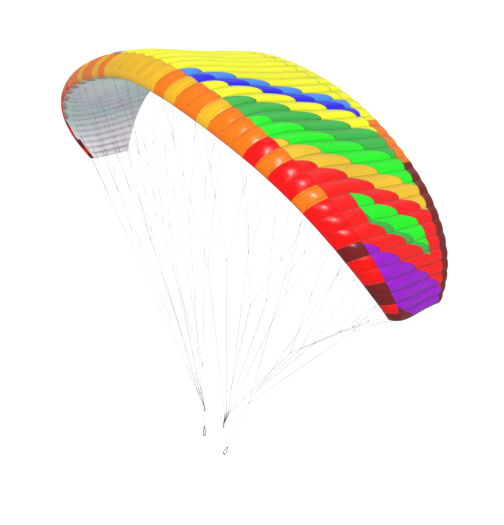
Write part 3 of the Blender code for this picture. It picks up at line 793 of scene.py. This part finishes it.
def cloth_material(name, painter, roughness=0.42, specular=0.25, seam_dark=0.55, through=0.25,
                   relief=1.0, fullness=0.0, middle_full=1.0, sheen=0.02, glow=0.0):
    """Woven nylon with seams over the ribs.

    painter(s, span, share, across, cloth) gives its colour and a mask of its own seams.
    relief is the seams' height.  fullness makes the cells look fuller than their facets'
    bulge, and middle_full is the part of it that the middle cells have.
    """
    s = Shade(name, roughness, specular, sheen=sheen)
    # painted light: the cloth glows in place of the light that comes through the outer cloth
    if glow:
        s.glow(INNER_LIGHT, glow)
    span, share, across, _ = s.attribute("panel")
    _, along, _, cloth = s.attribute("cloth")
    colour, own_seams = painter(s, span, share, across, cloth)
    cell = s.node("TexWhiteNoise", {"W": s.math("FLOOR", span)}, noise_dimensions="1D")
    grid = weave(s, cloth)
    colour = s.tinted(
        colour, s.spread(cell.outputs[0], *CELL_TONES), s.spread(grid, *GRID_TONES),
        s.mottled(cloth, CLOUD_SCALE, *CLOUD_TONES, detail=4.0),
        s.mottled(cloth, GRAIN_SCALE, *GRAIN_TONES, detail=2.0))
    seam = s.line(across, *RIB_SEAM)
    dark = s.either(s.both(seam, seam_dark), own_seams)
    colour = s.mix(dark, colour, s.mix(SEAM_DARKEST, colour, SEAM_SHADOW))
    colour = s.mix(s.both(stitches(s, across, along), STITCH_SHOWN), colour, STITCH_GREY)
    height = s.plus(s.both(grid, GRID_HEIGHT), s.both(s.either(seam, own_seams), relief))
    height = s.plus(height, s.both(s.noise(cloth, FOLD_SCALE), FOLD_HEIGHT))
    gloss = s.mottled(cloth, GLOSS_SCALE, *(roughness + change for change in GLOSS_CHANGE))
    blown = None
    if fullness:
        part = s.part(span)
        blown = s.bump(s.both(
            part, s.minus(1.0, part), s.math("MULTIPLY_ADD", span, *CELL_WIDTH),
            s.fall(s.size(share), *FULL_FROM), 4 * fullness,
            s.spread(s.fall(span, *OUTER_CELLS), middle_full, 1.0)), 1.0)
    return s.finish(colour, s.bump(height, BUMP_HEIGHT, 0.6, blown),
                    s.plus(gloss, s.both(seam, SEAM_ROUGHNESS)), through)


def paint_upper(s, span, share, *_):
    """The upper sail's panels, and its seam to the band."""
    colour, seams = sail_colours(s, span, share)
    front = s.line(share, *BAND_SEAM, at=BAND_BACK)
    return colour, s.both(s.either(seams, front), UPPER_SHOWN)


def paint_band(s, span, share, across, cloth):
    """Plain colour for each cell, and a stitched loop over the front of each rib."""
    ahead = s.either(s.parts(cloth)[2], 0.0)      # distance past a loop's round end
    distance = s.math("SQRT", s.plus(s.both(across, across), s.both(ahead, ahead)))
    loop = s.line(distance, *POCKET_SEAM, at=POCKET_WIDTH / 2)
    loop = s.both(loop, s.over(share, 0.0))
    back = s.line(share, *BAND_SEAM, at=BAND_BACK)
    return s.steps(span, BAND_COLOURS), s.both(s.either(loop, back), BAND_SHOWN)


def paint_lower(s, span, share, _, cloth):
    """Pale cloth with painted light: a lighter tip, soft tints, a little of the upper sail's
    colours through it.

    The tip's front has the band's colours.
    """
    above, _ = sail_colours(s, span, s.size(share))
    cast = s.noise(cloth, TINT_SCALE, 1.0)
    # painted light: lighter towards the tip
    colour = s.mix(s.fall(span, *TIP_CELLS), PALE, LIT_PALE_TIP)
    colour = s.mix(s.fall(span, *MIDDLE_CELLS), colour, PALE_MIDDLE)
    # painted light: green and rose tints and a little of the upper sail's colours, as light
    # coming through from above
    green = s.both(s.fall(cast, *GREEN_CLOUDS), s.fall(span, *GREEN_CELLS), GREEN_TINT)
    colour = s.mix(green, colour, GREEN_THROUGH_LIGHT)
    rose = s.either(s.fall(cast, *ROSE_CLOUDS), s.fall(share, *ROSE_REAR))
    colour = s.mix(s.both(rose, ROSE_TINT), colour, ROSE_THROUGH_LIGHT)
    through = s.mottled(cloth, THROUGH_SCALE, 0.0, THROUGH_TINT, detail=2.0)
    colour = s.mix(through, colour, above)
    tip = s.both(s.over(span, TIP_FRONT[0]), s.under(s.size(share), TIP_FRONT[1]))
    colour = s.mix(tip, colour, s.steps(span, BAND_COLOURS))
    rows = [s.line(share, *ROW_SEAM, at=-ROW_SHARES[row]) for row in "abc"]
    return colour, s.both(s.either(*rows), LOWER_SHOWN)


def plain(colour):
    """Painter of a cloth of one colour with no seams of its own."""
    return lambda *_: (colour, 0.0)


def cord_material(name, colour, size):
    """Braided sheath: two families of slanting ridges, size apart, round a cord."""
    s = Shade(name, 0.62, 0.35)
    along, across, through, place = s.attribute("strap")
    turn = s.both(s.math("ARCTAN2", through, across), CORD_STRANDS)
    ridges = [s.math("SINE", s.math("MULTIPLY_ADD", along, 2 * math.pi / size,
                                    s.both(turn, sign))) for sign in (1, -1)]
    braid = s.math("MULTIPLY_ADD", s.both(*ridges), 0.5, 0.5)
    # random mottling, and the braid lighter on its ridges and darker between them: painted light
    # and shade of its relief
    tone = s.both(s.mottled(place, 3.0, 0.8, 1.2), s.spread(braid, 0.7, 1.1))
    return s.finish(s.tinted(colour, tone), s.bump(braid, 0.0002, 0.6))


def webbing_material(name, colour):
    """Flat woven strap: ribs along it, a herringbone across, worn lighter at its edges."""
    s = Shade(name, 0.72, 0.3, sheen=0.15)
    along, across, _, place = s.attribute("strap")
    rib_width, twill_width, worn_width = 0.0016, 0.0011, 0.0022
    ribs = s.math("SINE", s.both(across, 2 * math.pi / rib_width))
    zigzag = s.math("PINGPONG", across, rib_width)
    twill = s.math("SINE", s.both(s.plus(along, zigzag), 2 * math.pi / twill_width))
    height = s.plus(s.both(ribs, 0.5), s.both(twill, 0.5))
    # random mottling, and the weave lighter on its ridges and darker between them: painted light
    # and shade of its relief
    tone = s.both(s.mottled(place, 40.0, 0.8, 1.15, detail=4.0),
                  s.spread(s.math("MULTIPLY_ADD", height, 0.5, 0.5), 0.8, 1.1))
    edge = STRAP_WIDTH / 2
    worn = s.minus(1.0, s.fall(s.size(across), edge, edge - worn_width))
    shade = s.mix(s.both(worn, 0.25), s.tinted(colour, tone), WORN_GREY)
    return s.finish(shade, s.bump(height, 0.0003, 0.7))


def steel_material(name):
    """Brushed stainless steel with fine scratches."""
    s = Shade(name, 0.24, metallic=1.0)
    place = s.place()
    scratch = s.noise(place, 900.0, 2.0)
    tone = s.mottled(place, 60.0, 0.5, 0.62)
    return s.finish(s.grey(tone), s.bump(scratch, 0.00005, 0.4), s.spread(scratch, 0.18, 0.36))


# ---------- sails


def columns_of_half():
    """Span positions of the sheets' columns; the first keeps the middle seam's gap."""
    positions = [cell + part for cell in range(CELLS) for part in CREASE_COLUMNS]
    positions.append(CELLS)
    positions[0] = SEAM / 2 / WIDTHS[0]
    return np.array(positions)


def seam_gap(positions):
    """Half a seam's gap as a share of the chord, for a column of positions."""
    return SEAM / 2 / chord_at(positions)[:, None]


def upper_rows(positions):
    front = BAND_BACK + seam_gap(positions)
    return front + (1 - front) * np.linspace(0, 1, UPPER_ROWS)


def lower_rows(positions):
    front = (lip_share(positions) + mouth_depth(positions))[:, None] + seam_gap(positions)
    return -(front + (1 - front) * np.linspace(0, 1, LOWER_ROWS) ** LOWER_ROW_POWER)


def band_rows(positions):
    """Rows evenly spread round the nose, in signed square roots of the share."""
    gap = seam_gap(positions)
    start = np.sqrt(BAND_BACK - gap)
    end = -np.sqrt(lip_share(positions)[:, None] - gap)
    root = start + (end - start) * np.linspace(0, 1, BAND_ROWS)
    return np.sign(root) * root ** 2


def pucker(rib, distance, along):
    """Height of the small gathers beside each rib's seam."""
    phase = 2.4 * rib + 1.3 * np.sin(5.1 * rib)          # makes the ribs' gathers unlike
    wave = np.sin(along / PUCKER_LENGTH * 2 * math.pi + phase + 0.8 * np.sin(3.0 * along))
    near = distance / PUCKER_REACH
    return PUCKER_HEIGHT * wave * near * np.exp(1 - near)


# heights of the bake layout's bands, and the margins in it
OUTER_BAND = (0.0, 0.86)
INNER_BAND = (0.865, 0.985)
RIM_BAND = (0.99, 0.999)
SIDE_MARGIN = 0.002
ROW_MARGIN = 0.01
RIM_MARGIN = 0.1


def bake_layout(mesh, columns, rows, blocks):
    """UV layer of a sheet: outer layer in rows of blocks, inner layer and rim above it."""
    corners = np.zeros(len(mesh.loops), np.int64)
    mesh.loops.foreach_get("vertex_index", corners)
    corners = corners.reshape(-1, 4)
    uv = np.zeros(corners.shape + (2,))
    quads = (columns - 1) * (rows - 1)
    first = np.arange(quads) // (rows - 1)
    for start, (low, high), parts in ((0, OUTER_BAND, blocks), (quads, INNER_BAND, 2)):
        column, row = np.divmod(corners[start:start + quads] % (columns * rows), rows)
        wide, tall = math.ceil((columns - 1) / parts), (high - low) / parts
        block = (first // wide)[:, None]
        across = (column - block * wide) / wide
        along = block + ROW_MARGIN + (1 - 2 * ROW_MARGIN) * row / (rows - 1)
        uv[start:start + quads, :, 0] = SIDE_MARGIN + (1 - 2 * SIDE_MARGIN) * across
        uv[start:start + quads, :, 1] = low + tall * along
    rim = np.arange(len(corners) - 2 * quads)[:, None]
    box_x, box_y = np.array([[0, 1, 1, 0], [0, 0, 1, 1]])
    uv[2 * quads:, :, 0] = (rim + RIM_MARGIN + (1 - 2 * RIM_MARGIN) * box_x) / len(rim)
    uv[2 * quads:, :, 1] = RIM_BAND[0] + (RIM_BAND[1] - RIM_BAND[0]) * box_y
    layer = mesh.uv_layers.new(name="OFBake")
    layer.data.foreach_set("uv", uv.astype(np.float32).ravel())


def sharp_edges(mesh, at):
    """Marks the edges whose two vertices are both in the boolean array at."""
    ends = np.zeros(len(mesh.edges) * 2, np.int32)
    mesh.edges.foreach_get("vertices", ends)
    made = mesh.attributes.new("sharp_edge", "BOOLEAN", "EDGE")
    made.data.foreach_set("value", at[ends.reshape(-1, 2)].all(1))


def rib_name(rib, side):
    return sided(f"cloth_rib_{rib:02d}", side if rib else "")


def add_sail(name, nodes, rows, material, inner_material, blocks):
    """A sail's fine sheet on both halves, in place of the frame's nodes, which are hidden."""
    positions = columns_of_half()
    stations = rows(positions)
    columns, count = stations.shape
    where = np.repeat(positions[:, None], count, 1)
    along = spacing(wing(where, stations))
    rib = np.round(where)
    across = (where - rib) * WIDTHS[np.minimum(where.astype(int), CELLS - 1)]
    lift = SKIN + pucker(rib, np.abs(across), along)
    outer, inner = wing(where, stations, lift), wing(where, stations, lift - SHEET)
    points = np.concatenate([outer, inner]).reshape(-1, 3)
    faces = outwards(points, sheet_faces(columns, count))
    panel = np.stack([np.minimum(where, CELLS - 1e-4), stations, across], -1)
    ahead = (POCKET_FRONT - stations) * chord_at(where)
    cloth = np.stack([span_share(where) * FLAT_SPAN / 2, along, ahead], -1)
    at_rib = np.tile((np.abs(where - rib) < 1e-3).ravel(), 2)
    width, length, area = flat_facts(outer)
    quads = (columns - 1) * (count - 1)
    inside = np.zeros(len(faces), np.int32)
    inside[quads:2 * quads] = 1
    pieces = add_pieces(name, points, faces, [material, inner_material], name, nodes,
                        smooth=2 * quads, panel=np.stack([panel, panel]),
                        cloth=np.stack([cloth, cloth]))
    for side, obj in pieces.items():
        bake_layout(obj.data, columns, count, blocks)
        sharp_edges(obj.data, at_rib)
        obj.data.polygons.foreach_set("material_index", inside)
    print(f"{name}: flat {width:.3f} x {length:.3f} m, {area:.3f} m2")


# ---------- ribs and tips


def add_upright(name, position, low, top, rows, rest, material, slot, nodes, sides=SIDES):
    """A sheet square to the span at a position, between the points of its two long edges.

    rest is its place outwards of them.  Returns the objects by side, and the sheet's
    length, height and area.
    """
    edges = low[:, None] + (top - low)[:, None] * np.linspace(0, 1, rows)[:, None]
    way = outward(position)
    one, two = edges + way * rest, edges + way * (rest + SHEET)
    points = np.concatenate([one, two]).reshape(-1, 3)
    faces = outwards(points, sheet_faces(len(low), rows))
    cloth = np.stack([grid - grid[0, 0] for grid in (one, two)])[..., [1, 2, 0]]
    panel = np.tile((min(position, CELLS - 1) + 0.5, 0.0, OFF_SEAM), (len(points), 1))
    pieces = add_pieces(name, points, faces, [material], slot, nodes, sides,
                        smooth=2 * (len(low) - 1) * (rows - 1), cloth=cloth, panel=panel)
    length, height, area = flat_facts(one)
    return pieces, length, height, min(area, length * height)


def add_rib(rib, material):
    """A thin rib between the sails, cut square at an intake mouth."""
    front = float(lip_share(rib))
    back = front + float(mouth_depth(rib))
    nose = [share for share in RIB_NOSE if share < NOSE_REACH * front]
    mouth = np.linspace(front, back, 3) if back > front else [front]
    shares = np.concatenate([nose, mouth, np.linspace(back + RIB_STEP, RIB_END, RIB_SHARES)])
    lift = SKIN - SHEET - RIB_CLEARANCE
    top, low = wing(rib, shares, lift), wing(rib, -shares, lift)
    if back > front:
        low[len(nose) + 1] = (low[len(nose)] + low[len(nose) + 2]) / 2
    pieces, length, height, area = add_upright(
        rib_name(rib, ""), rib, low, top, RIB_ROWS, -SHEET / 2, material, "rib_cloth",
        [f"rib_{rib:02d}"], SIDES if rib else [("", 1)])


def add_tips(material):
    """Closing panel of each tip, blown out a little by the air inside."""
    shares = np.concatenate([TIP_NOSE, np.linspace(TIP_START, 1.0, TIP_SHARES)])
    top, low = wing(CELLS, shares, SKIN), wing(CELLS, -shares, SKIN)
    t = np.linspace(0, 1, TIP_ROWS)[:, None]
    depth = np.linalg.norm(top - low, axis=-1)[:, None, None]
    rest = SEAM + TIP_BLOWN * depth * 4 * t * (1 - t)
    pieces, length, height, area = add_upright(
        "tip_cloth", CELLS, low, top, TIP_ROWS, rest, material, "tip_cloth", ["tip_panel"])


# ---------- risers and handles


def strap_way(row):
    """Direction of a riser strap in the frame, towards the middle of its link."""
    return unit(np.mean(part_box(f"link_{row}_left"), 0) - HANG_POINT)


STRAP_WAYS = {row: strap_way(row) for row in "abc"}
HANDLE_UP = unit(HANDLE_TOP - HANDLE_BOTTOM)
HANDLE_RIGHT = level(HANDLE_UP)
HANDLE_ACROSS = square(HANDLE_RIGHT, HANDLE_UP)


def tacks(start, way, distances, across, size):
    """Bar tacks across a strap: blocks of thread at distances from start along a way."""
    section = strap_section(*size)
    return [sweep(start + np.outer((at, at + TACK), way), across, section) for at in distances]


def karabiner_loop(section):
    """Loop of strap at the bottom of the riser, which hangs on the karabiner."""
    size = (np.array([LOOP_WIDTH, LOOP_HEIGHT]) - STRAP_THICKNESS) / 2
    circle = ring(LOOP_POINTS)
    oval = size * np.copysign(np.abs(circle) ** LOOP_POWERS, circle)
    centre = HANG_POINT + UPWARD * LOOP_HEIGHT / 2
    return sweep(plane(centre, AFT, UPWARD, oval), SIDEWAYS, section, closed=True)


def riser_strap(way, shift, section):
    """Strap from its place in the sewn stack, round its link and back to its stitching."""
    foot = (shift * STRAP_THICKNESS, LOOP_HEIGHT - STACK_OVERLAP)
    start = plane(HANG_POINT, AFT, UPWARD, foot)
    stack = start + UPWARD * STACK_HEIGHT
    wire = HANG_POINT + way * (LINK_START + LINK_WIRE / 2)
    through = square(way, SIDEWAYS)
    lower = wire - way * STRAP_STRAIGHT
    knots = [start, (start + stack) / 2, stack]
    knots += [stack + (lower - stack) * part - through * aside for part, aside in STRAP_BENDS]
    reach = LINK_WIRE / 2 + STRAP_THICKNESS * STRAP_PRESSED
    path = np.concatenate([smooth_path(knots, 6),
                           plane(wire, through, way, reach * turns(180, 0, 9)),
                           plane(wire, through, way, STRAP_TAIL)])
    return sweep(path, SIDEWAYS, section)


def build_risers(webbing, thread, steel):
    """Straps with their stitching, and the screw links on them."""
    section = strap_section(STRAP_WIDTH, STRAP_THICKNESS * STRAP_BODY)
    straps = [karabiner_loop(section)]
    stitching = tacks(HANG_POINT + UPWARD * LOOP_HEIGHT, UPWARD, STACK_TACKS, SIDEWAYS,
                      STACK_TACK_SIZE)
    for shift, way in zip((-1, 0, 1), STRAP_WAYS.values()):
        straps.append(riser_strap(way, shift, section))
        stitching += tacks(HANG_POINT + way * RISER_LENGTH, way, STRAP_TACKS, SIDEWAYS,
                           STRAP_TACK_SIZE)
    add_straps("riser_straps", straps, webbing, "webbing", ["riser"])
    add_straps("riser_stitching", stitching, thread, "webbing")
    for row, way in STRAP_WAYS.items():
        build_link(row, way, steel)


def build_link(row, way, steel):
    """Oval screw link of round wire, with its sleeve nut."""
    centre = HANG_POINT + way * (LINK_START + LINK_LENGTH / 2)
    spread = level(way)
    forward = square(spread, way)
    half = (np.array([LINK_WIDTH, LINK_LENGTH]) - LINK_WIRE) / 2
    radius = half[0] * LINK_CORNER
    corners = [(half - radius) * corner + radius * turns(start, start + 90, 7) for start, corner
               in zip((0, 90, 180, 270), ((1, 1), (-1, 1), (-1, -1), (1, -1)))]
    path = plane(centre, spread, way, np.concatenate(corners))
    wire = sweep(path, forward, LINK_WIRE / 2 * ring(10), closed=True)
    nut_path = [centre - spread * half[0] + way * height for height, _ in NUT_LEVELS]
    nut_section = np.stack([NUT_RADIUS * size * ring(6) for _, size in NUT_LEVELS])
    nut = sweep(np.array(nut_path), forward, nut_section)
    pieces = add_straps(f"screw_link_{row}", [wire, nut], steel, "link_steel", [f"link_{row}"])
    for obj in pieces.values():
        bevel = obj.modifiers.new("edges", "BEVEL")
        bevel.width = LINK_BEVEL
        bevel.limit_method = "ANGLE"


def build_handles(webbing, grip, thread):
    """Brake handles: a loop of webbing, a grip round its bottom and a stitched neck."""
    length = math.dist(HANDLE_TOP, HANDLE_BOTTOM)
    low = HANDLE_ROUND * HANDLE_WIDTH / 2
    centre = HANDLE_BOTTOM + HANDLE_UP * low
    half, neck = (HANDLE_WIDTH - STRAP_THICKNESS) / 2, HANDLE_NECK * HANDLE_WIDTH / 2
    oval = (half, low - STRAP_THICKNESS / 2)
    height = length - low
    shoulder = HANDLE_SHOULDER[1] * length - low
    # the loop's edge on one side, from above its round end up to the neck
    side = [(half * 0.985, shoulder * 0.5), (half * HANDLE_SHOULDER[0], shoulder * 0.95),
            (half * 0.62, (shoulder + height) / 2), (neck * 0.95, height * 0.93),
            (neck * 0.35, height - STRAP_THICKNESS)]
    outline = np.concatenate([oval * turns(180, 360, 17), mirrored(side)])
    knots = plane(centre, HANDLE_RIGHT, HANDLE_UP, outline)
    loop = sweep(smooth_path(knots, 3, closed=True), HANDLE_ACROSS,
                 strap_section(STRAP_WIDTH, STRAP_THICKNESS), closed=True)
    arc = plane(centre, HANDLE_RIGHT, HANDLE_UP, oval * turns(*GRIP_ARC, 25))
    sleeve = sweep(arc, HANDLE_ACROSS, strap_section(
        STRAP_WIDTH + GRIP_EXTRA[0], STRAP_THICKNESS + GRIP_EXTRA[1], 5))
    neck_tacks = tacks(HANDLE_TOP, HANDLE_UP, NECK_TACKS, HANDLE_ACROSS, NECK_TACK_SIZE)
    add_straps("brake_loop", [loop], webbing, "webbing", ["brake_handle"])
    add_straps("brake_grip", [sleeve], grip, "webbing")
    add_straps("brake_stitching", neck_tacks, thread, "webbing")


# ---------- suspension lines


class Line:
    """A line, with the lines above it or the direction ahead on the sail at its tab."""

    def __init__(self, low, high, size, above=(), ahead=None):
        self.high, self.size, self.above, self.ahead = high, size, above, ahead
        self.way = unit(high - low)


NEAR_AHEAD, FAR_AHEAD = 0.002, 0.05     # steps ahead that give a direction, as shares


def attachment(rib, share):
    """Foot of a tab on the lower sail or a tip panel, with the direction ahead on it."""
    under = wing(rib, -share, SKIN)
    if rib < CELLS:
        return under, unit(wing(rib, NEAR_AHEAD - share, SKIN) - under)
    over = wing(rib, share, SKIN)
    out = SEAM + TIP_BLOWN * math.dist(over, under) + SHEET
    foot = (over + under) / 2 + outward(rib) * out
    return foot, unit(wing(rib, share - FAR_AHEAD) - wing(rib, share))


def cascade(root, low, ribs, share, levels):
    """Line from low to a rib's tab, or to a knot with a line to each part of nested ribs.

    levels has each level's line size and its knots' height, as a part of the way from root.
    """
    (size, split), *above = levels
    if isinstance(ribs, int):
        foot, ahead = attachment(ribs, share)
        return Line(low, foot, size, ahead=ahead)
    feet = [attachment(rib, share)[0] for rib in np.hstack(ribs)]
    knot = root + (np.mean(feet, 0) - root) * split
    return Line(low, knot, size, [cascade(root, knot, part, share, above) for part in ribs])


def main_lines(root, groups, row, split):
    """Main lines of a row above one root point, with the middle and top lines on them."""
    levels = ((MAIN_LINE, split), (MIDDLE_LINE, MIDDLE_SPLIT), (TOP_LINE, 1.0))
    return [cascade(root, root, group, ROW_SHARES[row], levels) for group in groups]


def end_loop(bar, way, aside, half, length, size):
    """Sewn loop of a cord round something at bar; way leads from there into the line."""
    cosine, sine = ring(14).T
    pear = np.stack([length * (1 - cosine) / 2, half * sine * (1 + LOOP_PEAR * cosine)], -1)
    return sweep(plane(bar, way, aside, pear), square(way, aside), size / 2 * ring(6),
                 closed=True)


def cord_body(start, end, size):
    """Straight cord with thicker sewn ends."""
    length = math.dist(start, end)
    sewn = min(SPLICE_LENGTH, length * SPLICE_REACH)
    steps = [(0.0, CORD_END), (SPLICE_STEPS[0], SPLICE_SIZE),
             (sewn, SPLICE_TAPER * SPLICE_SIZE), (sewn + SPLICE_STEPS[1], 1.0)]
    steps += [(length - at, thick) for at, thick in steps[::-1]]
    path = [start + (end - start) * at / length for at, _ in steps]
    section = np.stack([size / 2 * thick * ring(8) for _, thick in steps])
    return sweep(np.array(path), CORD_ACROSS, section)


def line_parts(line, low_bar, low_aside, low_half, low_length):
    """Cord, end loops and the lines above a line whose lower loop holds low_bar."""
    way, size = line.way, line.size
    parts = [end_loop(low_bar, way, low_aside, low_half, low_length, size)]
    if line.above:
        across, length, high_bar = level(way), END_LOOP, line.high
        half = len(line.above) * line.above[0].size * LINE_ROOM + size / 2
        parts += held_lines(line.above, size, high_bar, across, END_LOOP)
    else:
        across, length = square(-way, line.ahead), TAB_LOOP
        half = (TAB_WIDTH + size) / 2 + TAB_SLACK
        high_bar = line.high - way * (TAB_LENGTH - (TAB_TAPE + size) / 2)
    parts.append(end_loop(high_bar, -way, across, half, length, size))
    parts.append(cord_body(low_bar + way * low_length, high_bar - way * length, size))
    return parts


def held_lines(lines, holder, place, across, length):
    """Parts of lines side by side, whose loops hold a bar of the size holder at a place."""
    parts = []
    for i, line in enumerate(sorted(lines, key=lambda line: line.high[0])):
        beside = across * (i - (len(lines) - 1) / 2) * line.size * LINE_PITCH
        half = (holder + line.size) / 2
        normal = square(across, line.way)
        parts += line_parts(line, place + beside - line.way * half, normal,
                            half + LOOP_SLACK, length)
    return parts


def tab_parts(lines):
    """Loops of tape on the sail that hold the top lines."""
    parts = []
    for line in lines:
        if line.above:
            parts += tab_parts(line.above)
            continue
        across = square(-line.way, line.ahead)
        ahead = square(across, -line.way)
        outline = mirrored(TAB_SIDE, [(0.0, TAB_LENGTH)])
        path = smooth_path(plane(line.high, ahead, -line.way, outline), 3)
        parts.append(sweep(path, across, strap_section(TAB_WIDTH, TAB_TAPE)))
    return parts


def build_lines(cord, tape):
    """Cascades of round cords, each with a sewn loop at both ends, and the sail's tabs."""
    rows, tabs = {}, []
    for row, way in STRAP_WAYS.items():
        wire = HANG_POINT + way * (LINK_START + LINK_LENGTH - LINK_WIRE / 2)
        mains = main_lines(wire, LINE_GROUPS, row, MAIN_SPLIT)
        rows[row] = held_lines(mains, LINK_WIRE, wire, level(way), LINK_LOOP)
        tabs += tab_parts(mains)
    mains = main_lines(BRAKE_JOINT, BRAKE_GROUPS, "brake", BRAKE_MAIN_SPLIT)
    brake = Line(HANDLE_TOP, BRAKE_JOINT, MAIN_LINE, mains)
    bar = HANDLE_TOP - HANDLE_UP * (STRAP_THICKNESS + MAIN_LINE / 2)
    rows["brake"] = line_parts(brake, bar, HANDLE_ACROSS, STRAP_WIDTH / 2 + HANDLE_LOOP_SLACK,
                               HANDLE_LOOP)
    tabs += tab_parts(mains)
    for row, parts in rows.items():
        add_straps(f"line_cords_{row}", parts, cord, "line_cord", [f"lines_{row}"])
    add_straps("line_tabs", tabs, tape, "webbing")


# ---------- stage and camera

SKY = (0.25, 0.52)               # brightness overhead and from below
LAMPS = (                        # azimuth, elevation, strength, angular size, what it lacks
    ("key", 39, 59, 3.15, 8, "glossy"),
    ("fill", 72, -14, 1.6, 20, "glossy"),
    ("shine", 57, 57, 6.5, 8, "diffuse"),        # the key's reflection on the cloth
    ("veil", 216, 50, 0.45, 40, "diffuse"),      # soft reflection on cells turned inwards
)
FLOOR = ((150.0, 0.0), (400.0, 400.0))   # half width and height of the floor and its sweep
FLOOR_DROP = 0.25                # below the lowest point of the wing's equipment
CAMERA_PLACE = (10.919, -6.085, 2.282)
CAMERA_RIGHT = (0.57943, 0.81502, -0.00286)
CAMERA_UP = (-0.32971, 0.23761, 0.91369)
CAMERA_BACK = (0.74536, -0.52847, 0.40640)
FOCAL_PIXELS = 790.8
PICTURE_WIDTH = 504
SENSOR_WIDTH = 36.0


def build_camera():
    """Camera where the photo was taken from."""
    data = bpy.data.cameras.new("view")
    data.sensor_fit = "HORIZONTAL"
    data.sensor_width = SENSOR_WIDTH
    data.lens = SENSOR_WIDTH * FOCAL_PIXELS / PICTURE_WIDTH
    data.clip_end = 500.0
    camera = linked(bpy.data.objects.new("view", data))
    turn = Matrix((CAMERA_RIGHT, CAMERA_UP, CAMERA_BACK)).transposed().to_4x4()
    camera.matrix_world = Matrix.Translation(CAMERA_PLACE) @ turn
    bpy.context.scene.camera = camera


def add_sun(name, azimuth, elevation, strength, spread, lacks):
    """Lamp from an azimuth, counted from the front towards +X, and an elevation, degrees."""
    lamp = bpy.data.lights.new(name, "SUN")
    lamp.energy = strength
    lamp.angle = math.radians(spread)
    obj = linked(bpy.data.objects.new(name, lamp))
    turn, rise = math.radians(azimuth), math.radians(elevation)
    towards = Vector((math.sin(turn) * math.cos(rise), -math.cos(turn) * math.cos(rise),
                      math.sin(rise)))
    obj.rotation_euler = towards.to_track_quat("Z", "Y").to_euler()
    setattr(obj, f"visible_{lacks}", False)


def build_sky():
    """A sky that brightens downwards."""
    world = bpy.data.worlds.new("studio")
    world.use_nodes = True
    s = Nodes(world.node_tree)
    height = s.parts(s.place("Generated"))[2]
    overhead, below = SKY
    background = s.tree.nodes["Background"]
    s.put(background.inputs["Color"], WHITE)
    s.put(background.inputs["Strength"],
          s.math("MULTIPLY_ADD", height, (overhead - below) / 2, (overhead + below) / 2))
    bpy.context.scene.world = world


def build_floor():
    """Pale floor under the wing with a sweep round it; it lights and shades nothing."""
    s = Shade("pale_floor", 0.9, 0.0)
    s.glow(WHITE, 1.0)
    s.finish(s.grey(s.mottled(s.place(), 0.8, 0.08, 0.10)))
    base = CAD_BOX[0][2] - FLOOR_DROP
    corners = [(x * size, y * size, base + rise) for size, rise in FLOOR
               for x, y in ((-1, -1), (1, -1), (1, 1), (-1, 1))]
    sides = [(k, k + 4, (k + 1) % 4 + 4, (k + 1) % 4) for k in range(4)]
    mesh = bpy.data.meshes.new("floor")
    mesh.from_pydata(corners, [], [(0, 1, 2, 3)] + sides)
    mesh.materials.append(s.material)
    floor = linked(bpy.data.objects.new("floor", mesh))
    for kind in ("diffuse", "glossy", "transmission", "shadow"):
        setattr(floor, f"visible_{kind}", False)


def build_stage():
    bpy.context.scene.view_settings.view_transform = "Standard"
    build_sky()
    build_floor()
    for lamp in LAMPS:
        add_sun(*lamp)


# ---------- build


def build_canopy():
    """Sails, ribs and tips."""
    upper = cloth_material("upper_nylon", paint_upper, specular=0.35, seam_dark=0.42,
                           through=0.2, relief=0.3, fullness=0.10, sheen=0.10)
    band = cloth_material("band_nylon", paint_band, roughness=0.32, specular=0.20,
                          seam_dark=0.04, through=0.2, relief=0.1, fullness=0.02,
                          sheen=0.06)
    lower = cloth_material("lower_nylon", paint_lower, roughness=0.5, specular=0.2,
                           seam_dark=0.03, through=0.05, relief=0.1, fullness=0.22,
                           middle_full=0.3)
    # ribs and the sails' inner faces: grey with painted shade, and a glow of painted light
    rib = cloth_material("rib_nylon", plain(SHADED_INNER_GREY), 0.5, seam_dark=0.0, through=0.4,
                         glow=INNER_GLOW)
    inside = cloth_material("inner_coating", plain(SHADED_INNER_GREY), 0.5, seam_dark=0.0,
                            through=0.5, glow=INNER_GLOW)
    add_sail("upper_cloth", ["upper_sail"], upper_rows, upper, inside, 2)
    add_sail("lower_cloth", ["lower_sail", "lower_front_inner", "lower_front_outer"],
             lower_rows, lower, inside, 2)
    add_sail("band_cloth", [f"leading_edge_band_{place}" for place in
                            ("inner", "middle", "outer")], band_rows, band, inside, 4)
    for number in range(CELLS):
        add_rib(number, rib)
    add_tips(cloth_material("tip_nylon", plain(MAROON)))


def main():
    build_camera()
    build_stage()
    build_canopy()
    webbing = webbing_material("slate_webbing", linear_colour(50, 58, 70, 1.0))
    grip = webbing_material("grip_fabric", linear_colour(40, 44, 52, 1.0))
    tape = webbing_material("tab_tape", linear_colour(52, 56, 64, 1.0))
    thread = cord_material("bonded_thread", linear_colour(110, 116, 124, 1.0), 0.0012)
    cord = cord_material("line_sheath", linear_colour(24, 26, 28, 1.0), 0.0030)
    build_risers(webbing, thread, steel_material("stainless_steel"))
    build_handles(webbing, grip, thread)
    build_lines(cord, tape)


main()
